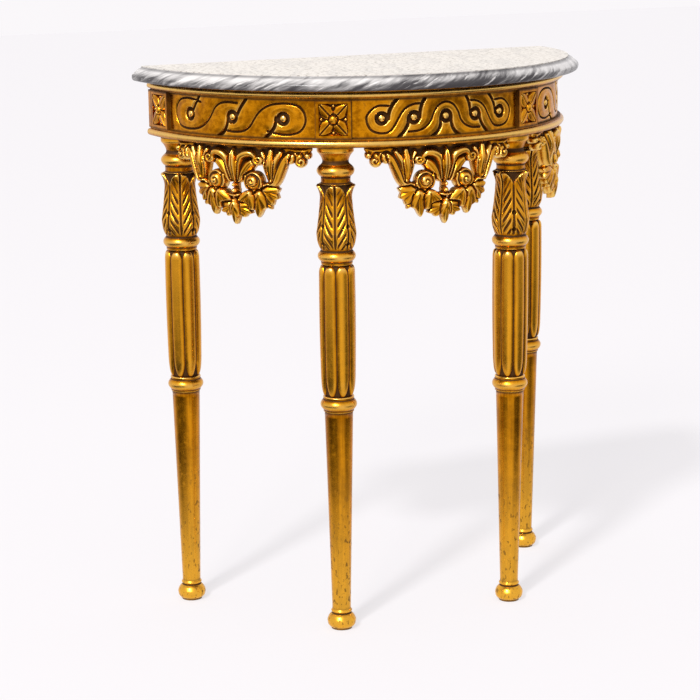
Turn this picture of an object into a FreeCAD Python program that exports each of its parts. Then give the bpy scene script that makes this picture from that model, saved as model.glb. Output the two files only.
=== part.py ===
import FreeCAD, Part
import Sketcher
import math
import os
from FreeCAD import Placement, Rotation, Vector

# Half-moon console table with a marble top, carved frieze, pierced aprons and four turned legs.
# Millimetres, Z up, front towards -Y, origin on the floor under the middle of the top.
# The half circle is drawn about the Z axis, then every sub-part moves back by half the depth.

doc = FreeCAD.newDocument("console_table")
sheet = doc.addObject("Spreadsheet::Sheet", "sizes")


class Size:
    """A number together with the sheet expression that gives it."""

    def __init__(self, value, text):
        self.value = value
        self.text = text

    def __add__(self, other):
        other = as_size(other)
        return Size(self.value + other.value, f"({self.text} + {other.text})")

    def __sub__(self, other):
        other = as_size(other)
        return Size(self.value - other.value, f"({self.text} - {other.text})")

    def __mul__(self, other):
        other = as_size(other)
        return Size(self.value * other.value, f"({self.text} * {other.text})")

    def __truediv__(self, other):
        other = as_size(other)
        return Size(self.value / other.value, f"({self.text} / {other.text})")

    def __rsub__(self, other):
        return as_size(other) - self

    def __neg__(self):
        return as_size(0) - self


def as_size(number):
    """A plain number becomes a size too."""
    return number if isinstance(number, Size) else Size(float(number), repr(float(number)))


def sine(angle):
    return Size(math.sin(math.radians(angle.value)), f"sin({angle.text} * 1 deg)")


def cosine(angle):
    return Size(math.cos(math.radians(angle.value)), f"cos({angle.text} * 1 deg)")


def arc_angle(length, radius):
    """Angle in degrees that an arc of this length takes on this radius."""
    return length / radius * (180 / math.pi)


def size(alias, value, meaning):
    """Write one driving dimension into the next row of the sheet."""
    row = size.row
    size.row += 1
    sheet.set(f"A{row}", meaning)
    sheet.set(f"B{row}", str(value))
    sheet.setAlias(f"B{row}", alias)
    return Size(float(value), f"sizes.{alias}")


size.row = 1

# Overall sizes
table_height = size("table_height", 800, "floor to marble face")
marble_radius = size("marble_radius", 343, "outer radius of the half-round top")
marble_thickness = size("marble_thickness", 21, "marble thickness")
marble_face_inset = size("marble_face_inset", 15, "flat face ends this far inside the nose")
marble_quirk = size("marble_quirk", 1.5, "small step at the rim of the flat face")
marble_nose_drop = size("marble_nose_drop", 13, "face to the widest point of the nose")
marble_under_inset = size("marble_under_inset", 5, "underside edge inside the nose")
marble_swell = size("marble_swell", 3.2, "bulge of the upper edge curve")

# Frieze sizes
top_moulding_height = size("top_moulding_height", 13, "bead under the marble")
top_moulding_radius = size("top_moulding_radius", 321, "widest point of the top bead")
top_moulding_neck = size("top_moulding_neck", 5, "top bead stands this far off its neck")
panel_height = size("panel_height", 54, "carved frieze panel")
panel_radius = size("panel_radius", 313, "carved face of the panels")
panel_thickness = size("panel_thickness", 20, "panel thickness")
lower_moulding_height = size("lower_moulding_height", 12, "fat bead under the frieze")
lower_moulding_radius = size("lower_moulding_radius", 322, "widest point of the lower bead")
lower_moulding_neck = size("lower_moulding_neck", 5, "lower bead stands this far off its neck")
frame_inner_radius = size("frame_inner_radius", 270, "inner radius of both mouldings and blocks")
block_proud = size("block_proud", 6, "blocks stand this far off the panels")
block_width = size("block_width", 50, "block width along the face")
recess_border = size("recess_border", 5, "frame round each rosette")
recess_depth = size("recess_depth", 7, "rosette field below the block face")
fit_gap = size("fit_gap", 0.2, "clearance between fitted pieces")

# Scroll carving sizes
groove_width = size("groove_width", 2.6, "carved scroll groove")
groove_depth = size("groove_depth", 2.2, "depth of grooves and sunk ground")
side_eye_pitch = size("side_eye_pitch", 79, "scroll eyes of the side panels")
centre_eye_pitch = size("centre_eye_pitch", 47, "scroll eyes of the centre panel")
eye_ring_radius = size("eye_ring_radius", 9, "sunk ring round a scroll eye")
eye_boss_radius = size("eye_boss_radius", 4.5, "raised scroll eye")
scroll_reach = size("scroll_reach", 20, "scroll line above and below the eye line")

# Rosette sizes
rosette_plate = size("rosette_plate", 2, "ground plate of a rosette")
rosette_height = size("rosette_height", 8, "petal height over the field")
petal_width = size("petal_width", 15, "petal width")
rosette_boss_radius = size("rosette_boss_radius", 5.5, "centre boss of a rosette")
rosette_bud_radius = size("rosette_bud_radius", 2.2, "buds between the petals")

# Leg stations
leg_circle_radius = size("leg_circle_radius", 288, "leg axes from the centre of the half circle")
front_leg_angle = size("front_leg_angle", 28.6, "front legs from the middle, in degrees")
rear_leg_angle = size("rear_leg_angle", 83.6, "rear legs from the middle, in degrees")
spigot_radius = size("spigot_radius", 10, "turned spigot on a leg")
spigot_length = size("spigot_length", 45, "spigot above the leg head")

# Leg profile, radii
head_radius = size("head_radius", 25.8, "disc at the leg head")
neck_radius = size("neck_radius", 18.3, "thin neck")
collar_radius = size("collar_radius", 26.3, "collar ring over the leaf cup")
waist_radius = size("waist_radius", 20.6, "waist over the leaf tips")
lip_radius = size("lip_radius", 26.9, "leaf tips")
throat_radius = size("throat_radius", 21.9, "leaf cup below the tips")
belly_radius = size("belly_radius", 27.3, "widest part of the leaf cup")
cup_foot_radius = size("cup_foot_radius", 22.2, "leaf cup at its foot")
ring_radius = size("ring_radius", 26.7, "ring over the reeds")
lower_ring_radius = size("lower_ring_radius", 25.9, "ring under the reeds")
reed_radius = size("reed_radius", 26, "reeds at their top")
reed_foot_radius = size("reed_foot_radius", 24.6, "reeds at their foot")
taper_step = size("taper_step", 1.5, "ledge over the plain taper")
taper_radius = size("taper_radius", 20.2, "plain taper at its top")
ankle_radius = size("ankle_radius", 13.1, "plain taper at its foot")
foot_radius = size("foot_radius", 20, "ball foot")
sole_radius = size("sole_radius", 15, "flat under the foot")

# Leg profile, heights down from the leg head and up from the floor
head_height = size("head_height", 9, "disc at the leg head")
neck_drop = size("neck_drop", 20, "head to neck")
collar_drop = size("collar_drop", 34, "head to collar ring")
collar_height = size("collar_height", 17, "collar ring")
waist_drop = size("waist_drop", 51, "head to the end of the waist")
lip_drop = size("lip_drop", 55, "head to leaf tips")
throat_drop = size("throat_drop", 71, "head to cup throat")
belly_drop = size("belly_drop", 120, "head to cup belly")
cup_foot_drop = size("cup_foot_drop", 144.5, "head to cup foot")
ring_height = size("ring_height", 15, "rings over and under the reeds")
cup_gap = size("cup_gap", 1.5, "fillet between the cup and its ring")
ring_gap = size("ring_gap", 4, "fillet between the reeds and the ring under them")
reed_drop = size("reed_drop", 165, "head to the start of the reeds")
reed_length = size("reed_length", 189.5, "length of the reeds")
taper_drop = size("taper_drop", 376, "head to the start of the plain taper")
ankle_height = size("ankle_height", 31, "floor to the end of the taper")
foot_neck_height = size("foot_neck_height", 25, "floor to the top of the ball foot")
foot_belly_height = size("foot_belly_height", 12, "floor to the widest part of the foot")
cup_swell = size("cup_swell", 1.5, "bulge of the lower cup")
throat_curve = size("throat_curve", 0.5, "hollow of the upper cup")
lip_curve = size("lip_curve", 1.5, "hollow under the leaf tips")
head_curve = size("head_curve", 0.8, "hollow of the neck under the head")

# Reeds and leaves of a leg
reed_count = 8
leaf_count = 4
reed_gap_depth = size("reed_gap_depth", 4.6, "valley between two reeds")
reed_roundness = size("reed_roundness", 1.9, "bulge of a reed flank")
leaf_gap_depth = size("leaf_gap_depth", 6, "gap between two leaf tips")
leaf_seam_depth = size("leaf_seam_depth", 2, "seam between two leaves on the cup")
leaf_seam_angle = size("leaf_seam_angle", 5, "half opening of a seam in degrees")
leaf_gap_angle = size("leaf_gap_angle", 24, "half opening between two tips in degrees")
reed_crest_angle = size("reed_crest_angle", 2.5, "half width of a reed crest in degrees")

# Apron sizes, measured along the curve from its middle and down from its top edge
apron_back_radius = size("apron_back_radius", 298, "back of an apron")
apron_thickness = size("apron_thickness", 12, "pierced ground of an apron")
apron_half_width = size("apron_half_width", 112, "middle to the end volute")
apron_drop = size("apron_drop", 111, "top edge to the pointed tip")
fruit_radius = size("fruit_radius", 13, "round fruits")
fruit_offset = size("fruit_offset", 31, "fruits from the middle")
fruit_drop = size("fruit_drop", 51, "fruits below the top edge")
volute_radius = size("volute_radius", 8, "upper volutes")
volute_offset = size("volute_offset", 43, "upper volutes from the middle")
volute_drop = size("volute_drop", 16, "upper volutes below the top edge")
end_volute_radius = size("end_volute_radius", 9.5, "end volutes")
relief = size("relief", 6, "volutes stand this far off the ground")

# Hidden frame sizes
rail_thickness = size("rail_thickness", 18, "back rail")
tenon_length = size("tenon_length", 12, "stub tenons of the back rail")
tenon_thickness = size("tenon_thickness", 9, "stub tenons of the back rail")
tenon_height = size("tenon_height", 34, "stub tenons of the back rail")
bearer_width = size("bearer_width", 30, "centre bearer")
bearer_height = size("bearer_height", 40, "centre bearer")
glue_block_side = size("glue_block_side", 19, "glue block legs")
screw_radius = size("screw_radius", 2, "apron screw shank")
screw_head_radius = size("screw_head_radius", 4, "apron screw head")
screw_length = size("screw_length", 30, "apron screw")
screw_offset = size("screw_offset", 64, "screws from the middle of an apron")

doc.recompute()

# Levels and angles that follow from the sizes above
marble_under = table_height - marble_thickness
panel_top = marble_under - top_moulding_height
panel_under = panel_top - panel_height
leg_height = panel_under - lower_moulding_height
panel_middle = panel_under + panel_height / 2
block_radius = panel_radius + block_proud
block_half_angle = arc_angle(block_width / 2, block_radius)
apron_front_radius = apron_back_radius + apron_thickness
half_depth = marble_radius / 2
leg_angles = {
    "left_rear": -rear_leg_angle,
    "left_front": -front_leg_angle,
    "right_front": front_leg_angle,
    "right_rear": rear_leg_angle,
}
side_middle_angle = (front_leg_angle + rear_leg_angle) / 2
bay_angles = {"left": -side_middle_angle, "centre": as_size(0), "right": side_middle_angle}
finished = []


def bind(thing, **sizes):
    """Tie properties of a document object to the sheet."""
    for name, value in sizes.items():
        thing.setExpression(name, as_size(value).text)


def put(thing, x=0, y=0, z=0, turn=0):
    """Place an object from sheet sizes: an offset, then a turn about the Z axis in degrees."""
    turn = as_size(turn)
    thing.Placement = Placement(Vector(0, 0, 0), Rotation(Vector(0, 0, 1), 1))
    bind(thing, **{"Placement.Base.x": x, "Placement.Base.y": y, "Placement.Base.z": z})
    thing.setExpression("Placement.Rotation.Angle", f"mod({(turn + 360).text}; 360) * 1 deg")


def finish(thing, label, turn=0):
    """Name a sub-part, move it to its place in the table and list it for writing."""
    thing.Label = label
    put(thing, y=half_depth, turn=turn)
    finished.append(thing)
    return thing


def new_body(name):
    return doc.addObject("PartDesign::Body", name)


def new_sketch(body, name, role, height=0):
    """A sketch on one of the body's own origin planes, lifted off it by a height."""
    sketch = body.newObject("Sketcher::SketchObject", name)
    plane = [item for item in body.Origin.OriginFeatures if item.Role == role][0]
    sketch.AttachmentSupport = [(plane, "")]
    sketch.MapMode = "FlatFace"
    sketch.setExpression("AttachmentOffset.Base.z", as_size(height).text)
    return sketch


def draw(sketch, steps):
    """Closed outline of lines and arcs: (x, y) or (x, y, bulge), a bulge lies left of the travel."""
    steps = [tuple(as_size(number) for number in step) for step in steps]
    edges = []
    for index, step in enumerate(steps):
        before = steps[index - 1]
        start = Vector(before[0].value, before[1].value, 0)
        end = Vector(step[0].value, step[1].value, 0)
        if len(step) == 2:
            edges.append(sketch.addGeometry(Part.LineSegment(start, end), False))
            continue
        bulge = step[2]
        run = end - start
        left = Vector(-run.y, run.x, 0).normalize()
        middle = (start + end) * 0.5 + left * bulge.value
        edge = sketch.addGeometry(Part.Arc(start, middle, end), False)
        edges.append(edge)
        across = step[0] - before[0]
        along = step[1] - before[1]
        depth = bulge if bulge.value > 0 else -bulge
        radius = ((across * across + along * along) / 4 + depth * depth) / (depth * 2)
        named = sketch.addConstraint(Sketcher.Constraint("Radius", edge, radius.value))
        sketch.setExpression(f"Constraints[{named}]", radius.text)
    for index, step in enumerate(steps):
        corner = Vector(step[0].value, step[1].value, 0)
        here = edges[index]
        after = edges[(index + 1) % len(edges)]
        here_end = nearest_end(sketch, here, corner)
        after_end = nearest_end(sketch, after, corner)
        sketch.addConstraint(Sketcher.Constraint("Coincident", here, here_end, after, after_end))
        hold(sketch, here, here_end, step[0], step[1])


def nearest_end(sketch, edge, corner):
    """Which end of an edge (1 or 2) lies on this corner."""
    first = sketch.getPoint(edge, 1).distanceToPoint(corner)
    second = sketch.getPoint(edge, 2).distanceToPoint(corner)
    return 1 if first < second else 2


def hold(sketch, edge, end, x, y):
    """Tie one point of a sketch to the sheet by its distances from the origin."""
    for kind, axis, value in (("DistanceX", -2, x), ("DistanceY", -1, y)):
        if value.value == 0:
            sketch.addConstraint(Sketcher.Constraint("PointOnObject", edge, end, axis))
            continue
        named = sketch.addConstraint(Sketcher.Constraint(kind, -1, 1, edge, end, value.value))
        sketch.setExpression(f"Constraints[{named}]", value.text)


def draw_circle(sketch, x, y, radius):
    """Circle whose centre and radius are tied to the sheet."""
    x, y, radius = as_size(x), as_size(y), as_size(radius)
    centre = Vector(x.value, y.value, 0)
    edge = sketch.addGeometry(Part.Circle(centre, Vector(0, 0, 1), radius.value), False)
    hold(sketch, edge, 3, x, y)
    named = sketch.addConstraint(Sketcher.Constraint("Radius", edge, radius.value))
    sketch.setExpression(f"Constraints[{named}]", radius.text)


def revolve(body, sketch, angle):
    """Turn a profile about the Z axis, clockwise from +X so that 180 degrees fill the front."""
    turned = body.newObject("PartDesign::Revolution", sketch.Name + "_turned")
    turned.Profile = sketch
    turned.ReferenceAxis = (sketch, ["V_Axis"])
    turned.Reversed = True
    bind(turned, Angle=angle)
    sketch.Visibility = False
    return turned


def pad(body, sketch, length):
    raised = body.newObject("PartDesign::Pad", sketch.Name + "_raised")
    raised.Profile = sketch
    bind(raised, Length=length)
    return raised


def pocket(body, sketch, depth, reversed_cut=False):
    sunk = body.newObject("PartDesign::Pocket", sketch.Name + "_cut")
    sunk.Profile = sketch
    sunk.Reversed = reversed_cut
    bind(sunk, Length=depth)
    return sunk


def repeat_round(body, feature, sketch, count):
    """Repeat a feature evenly round the body's Z axis."""
    pattern = body.newObject("PartDesign::PolarPattern", feature.Name + "_pattern")
    pattern.Originals = [feature]
    pattern.Axis = (sketch, ["N_Axis"])
    pattern.Angle = 360
    pattern.Occurrences = count
    body.Tip = pattern
    return pattern


def primitive(kind, name, sizes, **place):
    """A parametric solid placed from the sheet."""
    solid = doc.addObject(f"Part::{kind}", name)
    bind(solid, **sizes)
    put(solid, **place)
    return solid


def fuse(name, solids):
    joined = doc.addObject("Part::MultiFuse", name)
    joined.Shapes = solids
    joined.Refine = True
    return joined


def twin(original):
    """Another piece of the same pattern, listed for writing; its own label and place are set later."""
    copy = doc.addObject("App::Link", original.Name + "_twin")
    copy.LinkedObject = original
    finished.append(copy)
    return copy


def cut(name, base, tool):
    left_over = doc.addObject("Part::Cut", name)
    left_over.Base = base
    left_over.Tool = tool
    return left_over


# Marble top: half-round slab with a quirk and a rounded nose, loose on the frame
def build_marble_top():
    body = new_body("marble_top")
    profile = new_sketch(body, "marble_profile", "XZ_Plane")
    face_edge = marble_radius - marble_face_inset
    nose = table_height - marble_nose_drop
    draw(profile, [
        (0, marble_under),
        (marble_radius - marble_under_inset, marble_under),
        (marble_radius, nose, -marble_under_inset / 4),
        (face_edge, table_height - marble_quirk, -marble_swell),
        (face_edge, table_height),
        (0, table_height),
    ])
    revolve(body, profile, 180)
    return finish(body, "marble_top")


# Top moulding: half ring with a bead, carries the marble
def build_top_moulding():
    body = new_body("top_moulding")
    profile = new_sketch(body, "top_moulding_profile", "XZ_Plane")
    neck = top_moulding_radius - top_moulding_neck
    bead_low = panel_top + top_moulding_height * 0.15
    bead_high = panel_top + top_moulding_height * 0.75
    draw(profile, [
        (frame_inner_radius, panel_top),
        (neck, panel_top),
        (neck, bead_low),
        (neck, bead_high, -top_moulding_neck),
        (neck, marble_under),
        (frame_inner_radius, marble_under),
    ])
    revolve(body, profile, 180)
    return finish(body, "top_moulding")


# Lower moulding: half ring with a fat bead, bored for the leg spigots and the apron screws
def build_lower_moulding():
    body = new_body("lower_moulding_ring")
    profile = new_sketch(body, "lower_moulding_profile", "XZ_Plane")
    neck = lower_moulding_radius - lower_moulding_neck
    fillet_level = panel_under - lower_moulding_height * 0.15
    draw(profile, [
        (frame_inner_radius, leg_height),
        (neck, leg_height),
        (neck, fillet_level, -lower_moulding_neck),
        (neck, panel_under),
        (frame_inner_radius, panel_under),
    ])
    revolve(body, profile, 180)
    bores = new_sketch(body, "spigot_bores", "XY_Plane", panel_under)
    for angle in leg_angles.values():
        x = leg_circle_radius * sine(angle)
        y = -(leg_circle_radius * cosine(angle))
        draw_circle(bores, x, y, spigot_radius + fit_gap)
    pocket(body, bores, lower_moulding_height)
    screw_tools = [screw(f"screw_bore_{name}", place, fit_gap) for name, place in screw_places()]
    bored = cut("lower_moulding_bored", body, fuse("screw_bores", screw_tools))
    return finish(bored, "lower_moulding")


def screw_places():
    """Two screws to each apron, as a name and an angle round the half circle."""
    half_angle = arc_angle(screw_offset, apron_back_radius)
    places = []
    for name, angle in bay_angles.items():
        places.append((name + "_1", angle - half_angle))
        places.append((name + "_2", angle + half_angle))
    return places


def screw(name, angle, gap):
    """Countersunk screw that points down from the top of the lower moulding."""
    middle_radius = apron_back_radius + apron_thickness / 2
    x = middle_radius * sine(angle)
    y = -(middle_radius * cosine(angle))
    shank = primitive("Cylinder", name + "_shank", {
        "Radius": screw_radius + gap,
        "Height": screw_length + gap,
    }, x=x, y=y, z=panel_under - screw_length - gap)
    head = primitive("Cone", name + "_head", {
        "Radius1": screw_radius + gap,
        "Radius2": screw_head_radius + gap,
        "Height": screw_head_radius,
    }, x=x, y=y, z=panel_under - screw_head_radius)
    return fuse(name, [shank, head])


def build_apron_screws():
    group = doc.addObject("Part::Compound", "apron_screw_group")
    group.Links = [screw(f"apron_screw_{name}", place, as_size(0)) for name, place in screw_places()]
    return finish(group, "apron_screws")


# Leg blocks: wedge-shaped posts over the legs with a sunk field for the rosette
def build_leg_block(name, angle):
    rear = "rear" in name
    outer_angle = 90 - rear_leg_angle if rear else block_half_angle
    body = new_body(f"block_{name}")
    profile = new_sketch(body, f"block_profile_{name}", "XZ_Plane")
    draw(profile, [
        (frame_inner_radius, panel_under),
        (block_radius, panel_under),
        (block_radius, panel_top),
        (frame_inner_radius, panel_top),
    ])
    revolve(body, profile, block_half_angle + outer_angle)
    end_angle = angle + (outer_angle if angle.value > 0 else block_half_angle)
    put(body, turn=end_angle - 90)
    field_width = block_width - recess_border * 2
    field = primitive("Box", f"rosette_field_{name}", {
        "Length": field_width,
        "Width": recess_depth * 2,
        "Height": panel_height - recess_border * 2,
    })
    offset = field_width / 2
    field_radius = block_radius - recess_depth
    place_at_face(field, angle, -offset, field_radius + recess_depth * 2, panel_under + recess_border)
    socket = primitive("Cylinder", f"spigot_socket_{name}", {
        "Radius": spigot_radius + fit_gap,
        "Height": spigot_length - lower_moulding_height + 1,
    })
    place_at_face(socket, angle, as_size(0), leg_circle_radius, panel_under)
    tools = [field, socket]
    if rear:
        tools.append(tenon_solid(f"mortise_{name}", angle.value > 0, fit_gap))
    return finish(cut(f"block_cut_{name}", body, fuse(f"block_tools_{name}", tools)), f"leg_block_{name}")


def place_at_face(thing, angle, along, radius, height):
    """Turn a solid to a station on the half circle, shifted along the face by a distance."""
    x = radius * sine(angle) + along * cosine(angle)
    y = along * sine(angle) - radius * cosine(angle)
    put(thing, x=x, y=y, z=height, turn=angle)


# Rosettes: ground plate, four pointed petals on the diagonals, boss and buds
def build_rosette():
    """The first rosette; the other three are twins of it."""
    body = new_body("rosette_pattern")
    width = block_width - recess_border * 2 - fit_gap * 2
    height = panel_height - recess_border * 2 - fit_gap * 2
    plate = new_sketch(body, "rosette_plate", "XY_Plane")
    draw(plate, [
        (-width / 2, -height / 2),
        (width / 2, -height / 2),
        (width / 2, height / 2),
        (-width / 2, height / 2),
    ])
    pad(body, plate, rosette_plate)
    tip = width * 0.46
    root = rosette_boss_radius * 0.3
    low = petal_sketch(body, "rosette_petal_low", rosette_plate / 2, root, tip, petal_width)
    high = petal_sketch(body, "rosette_petal_high", rosette_height, root * 1.5, tip * 0.85, petal_width * 0.5)
    raised = body.newObject("PartDesign::AdditiveLoft", "rosette_petal")
    raised.Profile = low
    raised.Sections = [high]
    raised.Ruled = True
    repeat_round(body, raised, low, leaf_count)
    crease = new_sketch(body, "rosette_crease", "XY_Plane", rosette_height)
    edge = petal_width * 0.03
    draw(crease, [
        (root, root - edge),
        (tip, tip - edge),
        (tip, tip + edge),
        (root, root + edge),
    ])
    sunk = pocket(body, crease, rosette_height * 0.4)
    repeat_round(body, sunk, crease, leaf_count)
    bud = new_sketch(body, "rosette_bud", "XY_Plane")
    draw_circle(bud, width / 2 - rosette_bud_radius * 1.6, 0, rosette_bud_radius)
    bud_pad = pad(body, bud, rosette_height * 0.6)
    repeat_round(body, bud_pad, bud, leaf_count)
    boss = new_sketch(body, "rosette_boss", "XZ_Plane")
    draw(boss, [
        (0, 0),
        (rosette_boss_radius, 0),
        (rosette_boss_radius, rosette_height * 0.7),
        (0, rosette_height + rosette_boss_radius * 0.4, -rosette_boss_radius * 0.25),
    ])
    revolve(body, boss, 360)
    finished.append(body)
    return body


def place_rosette(rosette, name, angle):
    rosette.Label = f"rosette_{name}"
    turn = Placement(Vector(0, half_depth.value, 0), Rotation(Vector(0, 0, 1), angle.value))
    field_radius = block_radius - recess_depth
    stand = Placement(Vector(0, -field_radius.value, panel_middle.value), Rotation(Vector(1, 0, 0), 90))
    rosette.Placement = turn * stand


def petal_sketch(body, name, level, root, tip, width):
    """Pointed petal outline of two arcs along a diagonal of the field."""
    sketch = new_sketch(body, name, "XY_Plane", level)
    draw(sketch, [
        (tip, tip, -width / 2),
        (root, root, -width / 2),
    ])
    return sketch


# Frieze panels: curved boards with a running scroll cut into the face
def build_panel(bay, angle):
    span = front_leg_angle * 2 if bay == "centre" else rear_leg_angle - front_leg_angle
    span = span - block_half_angle * 2
    body = new_body(f"panel_{bay}")
    profile = new_sketch(body, f"panel_profile_{bay}", "XZ_Plane")
    draw(profile, [
        (panel_radius - panel_thickness, panel_under),
        (panel_radius, panel_under),
        (panel_radius, panel_top),
        (panel_radius - panel_thickness, panel_top),
    ])
    revolve(body, profile, span)
    put(body, turn=span / 2 - 90)
    carving = doc.addObject("Part::Feature", f"scroll_{bay}")
    carving.Shape = scroll_tool(bay, span.value * math.pi / 180 * panel_radius.value / 2)
    return finish(cut(f"panel_carved_{bay}", body, carving), f"frieze_panel_{bay}", angle)


def scroll_tool(bay, half_length):
    """Grooves, eye rings and sunk wedges of one panel as a solid that only reaches the groove depth."""
    radius = panel_radius.value
    reach = scroll_reach.value
    half_height = panel_height.value / 2
    lines = []
    eyes = []
    if bay == "centre":
        pitch = centre_eye_pitch.value
        eyes = [-2 * pitch, -pitch, 0, pitch, 2 * pitch]
        for hand in (-1, 1):
            lines.append([(hand * u, v) for u, v in end_scroll(2 * pitch, reach, half_length)])
            lines.append([(hand * u, v) for u, v in eye_line(2 * pitch, half_height, -1, 1)])
            lines.append([(hand * u, v) for u, v in eye_line(pitch, half_height, 1, -1)])
            lines.append([(hand * u, v) for u, v in eye_line(pitch, half_height, -1, 1)])
            lines.append([(hand * u, v) for u, v in eye_line(0, half_height, 1, -1)])
        lines.append([
            (-pitch * 1.15, -reach), (-pitch * 0.75, -reach * 0.85), (-pitch * 0.45, 0),
            (-pitch * 0.28, reach * 0.75), (0, reach), (pitch * 0.28, reach * 0.75),
            (pitch * 0.45, 0), (pitch * 0.75, -reach * 0.85), (pitch * 1.15, -reach),
        ])
    else:
        pitch = side_eye_pitch.value
        eyes = [-pitch, 0, pitch]
        hand = -1 if bay == "right" else 1
        for turn in (-1, 1):
            along = hand * turn
            lines.append([(along * u, -turn * v) for u, v in end_scroll(pitch, reach, half_length)])
            lines.append([(along * u, -turn * v) for u, v in eye_line(pitch, half_height, -1, 1)])
            lines.append([(along * u, -turn * v) for u, v in eye_line(0, half_height, 1, -1)])
    middle = panel_middle.value
    tools = []
    for line in lines:
        points = [on_face(u, middle + v, radius) for u, v in line]
        arcs = [
            Part.Arc(points[first], points[first + 1], points[first + 2]).toShape()
            for first in range(0, len(points) - 2, 2)
        ]
        band = Part.Wire(arcs).makeOffset2D(groove_width.value / 2)
        tools.append(Part.Face(band).extrude(Vector(0, -2 * radius, 0)))
    for u in eyes:
        centre = on_face(u, middle, radius)
        outer = Part.makeCylinder(eye_ring_radius.value, 2 * radius, centre, Vector(0, -1, 0))
        inner = Part.makeCylinder(eye_boss_radius.value, 2 * radius, centre, Vector(0, -1, 0))
        tools.append(outer.cut(inner))
    depth = groove_depth.value
    shell = Part.makeCylinder(radius + depth, panel_height.value * 2, Vector(0, 0, middle - panel_height.value))
    core = Part.makeCylinder(radius - depth, panel_height.value * 2, Vector(0, 0, middle - panel_height.value))
    return tools[0].fuse(tools[1:]).common(shell.cut(core))


def on_face(u, height, radius):
    """Point on the flat drawing plane in front of arc position u of the curved face."""
    return Vector(radius * math.sin(u / radius), 0, height)


def end_scroll(eye, reach, half_length):
    """Spiral line round the last eye and on to the next crest, for the right-hand end of a panel."""
    edge = min(eye + reach * 1.5, half_length - reach * 0.5)
    return [
        (eye - reach * 0.2, reach * 0.8), (eye + reach * 0.6, reach * 0.75), (edge, 0),
        (eye + reach * 0.6, -reach * 0.85), (eye, -reach), (eye - reach * 0.6, -reach * 0.8),
        (eye - reach * 1.15, 0), (eye - reach * 1.7, reach * 0.75), (eye - reach * 2.4, reach),
    ]


def eye_line(eye, half_height, side, up):
    """Curved line from the ring of an eye to the upper or lower border of the panel."""
    ring = eye_ring_radius.value
    return [
        (eye + side * ring * 0.9, 0),
        (eye + side * ring * 1.3, up * half_height * 0.55),
        (eye + side * ring * 2.4, up * half_height * 1.1),
    ]


# Legs: one turning each with spigot, leaf cup, two rings, eight reeds, taper and ball foot
def build_leg():
    """The first leg; the other three are twins of it."""
    body = new_body("leg_pattern")
    profile = new_sketch(body, "leg_profile", "XZ_Plane")
    top = leg_height
    taper_top = top - taper_drop
    step_radius = taper_radius + taper_step
    reed_top = top - reed_drop
    reed_foot = reed_top - reed_length
    lower_ring = reed_foot - ring_gap
    cup_foot = top - cup_foot_drop
    upper_ring = cup_foot - cup_gap
    reed_end = reed_radius - cup_foot_radius
    draw(profile, [
        (0, 0),
        (sole_radius, 0),
        (foot_radius, foot_belly_height, -foot_belly_height / 8),
        (ankle_radius - taper_step, foot_neck_height, -foot_belly_height / 6),
        (ankle_radius, ankle_height, -(ankle_height - foot_neck_height) / 3),
        (taper_radius, taper_top),
        (step_radius, taper_top),
        (step_radius, lower_ring - ring_height),
        (step_radius, lower_ring, -(lower_ring_radius - step_radius)),
        (cup_foot_radius, reed_foot),
        (reed_foot_radius, reed_foot + reed_end, -reed_end / 4),
        (reed_radius, reed_top - reed_end),
        (cup_foot_radius, reed_top, -reed_end / 4),
        (cup_foot_radius, upper_ring - ring_height),
        (cup_foot_radius, upper_ring, -(ring_radius - cup_foot_radius)),
        (cup_foot_radius, cup_foot),
        (belly_radius, top - belly_drop, -cup_swell),
        (throat_radius, top - throat_drop, throat_curve),
        (lip_radius, top - lip_drop, lip_curve),
        (waist_radius, top - waist_drop, -lip_curve / 2),
        (waist_radius, top - collar_drop - collar_height / 2),
        (waist_radius, top - collar_drop + collar_height / 2, -(collar_radius - waist_radius)),
        (neck_radius, top - neck_drop, head_curve),
        (head_radius - taper_step, top - head_height, head_curve),
        (head_radius, top - head_height * 0.7, -taper_step / 4),
        (head_radius, top),
        (spigot_radius, top),
        (spigot_radius, top + spigot_length),
        (0, top + spigot_length),
    ])
    revolve(body, profile, 360)
    carve_reeds(body, reed_foot, reed_top)
    carve_leaf_seams(body, cup_foot)
    finished.append(body)
    return body


def place_leg(leg, name, angle):
    leg.Label = f"leg_{name}"
    x = leg_circle_radius * sine(angle)
    y = half_depth - leg_circle_radius * cosine(angle)
    put(leg, x=x, y=y, turn=angle)


def valley_sketch(body, name, middle, level, bottom, outside, half_angle, roundness):
    """Cusp outline across one valley at a middle angle, from its bottom radius to clear outside the leg."""
    sketch = new_sketch(body, name, "XY_Plane", level)
    middle = as_size(middle)
    corners = [(bottom, middle), (outside, middle + half_angle), (outside, middle - half_angle)]
    spots = [(distance * sine(turn), -(distance * cosine(turn))) for distance, turn in corners]
    draw(sketch, [
        spots[0] + (-as_size(roundness),),
        spots[1] + (-as_size(roundness),),
        spots[2],
    ])
    return sketch


def carve_reeds(body, foot, top):
    """Straight valleys that leave eight rounded reeds; a valley lies under each leaf rib."""
    half_angle = 180 / reed_count - reed_crest_angle
    margin = fit_gap * 3
    bottom = reed_radius - reed_gap_depth
    outside = reed_radius + reed_roundness * 1.5
    sketch = valley_sketch(body, "reed_valley", 0, top - margin, bottom, outside, half_angle, reed_roundness)
    sunk = pocket(body, sketch, top - foot - margin * 2)
    repeat_round(body, sunk, sketch, reed_count)


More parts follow.
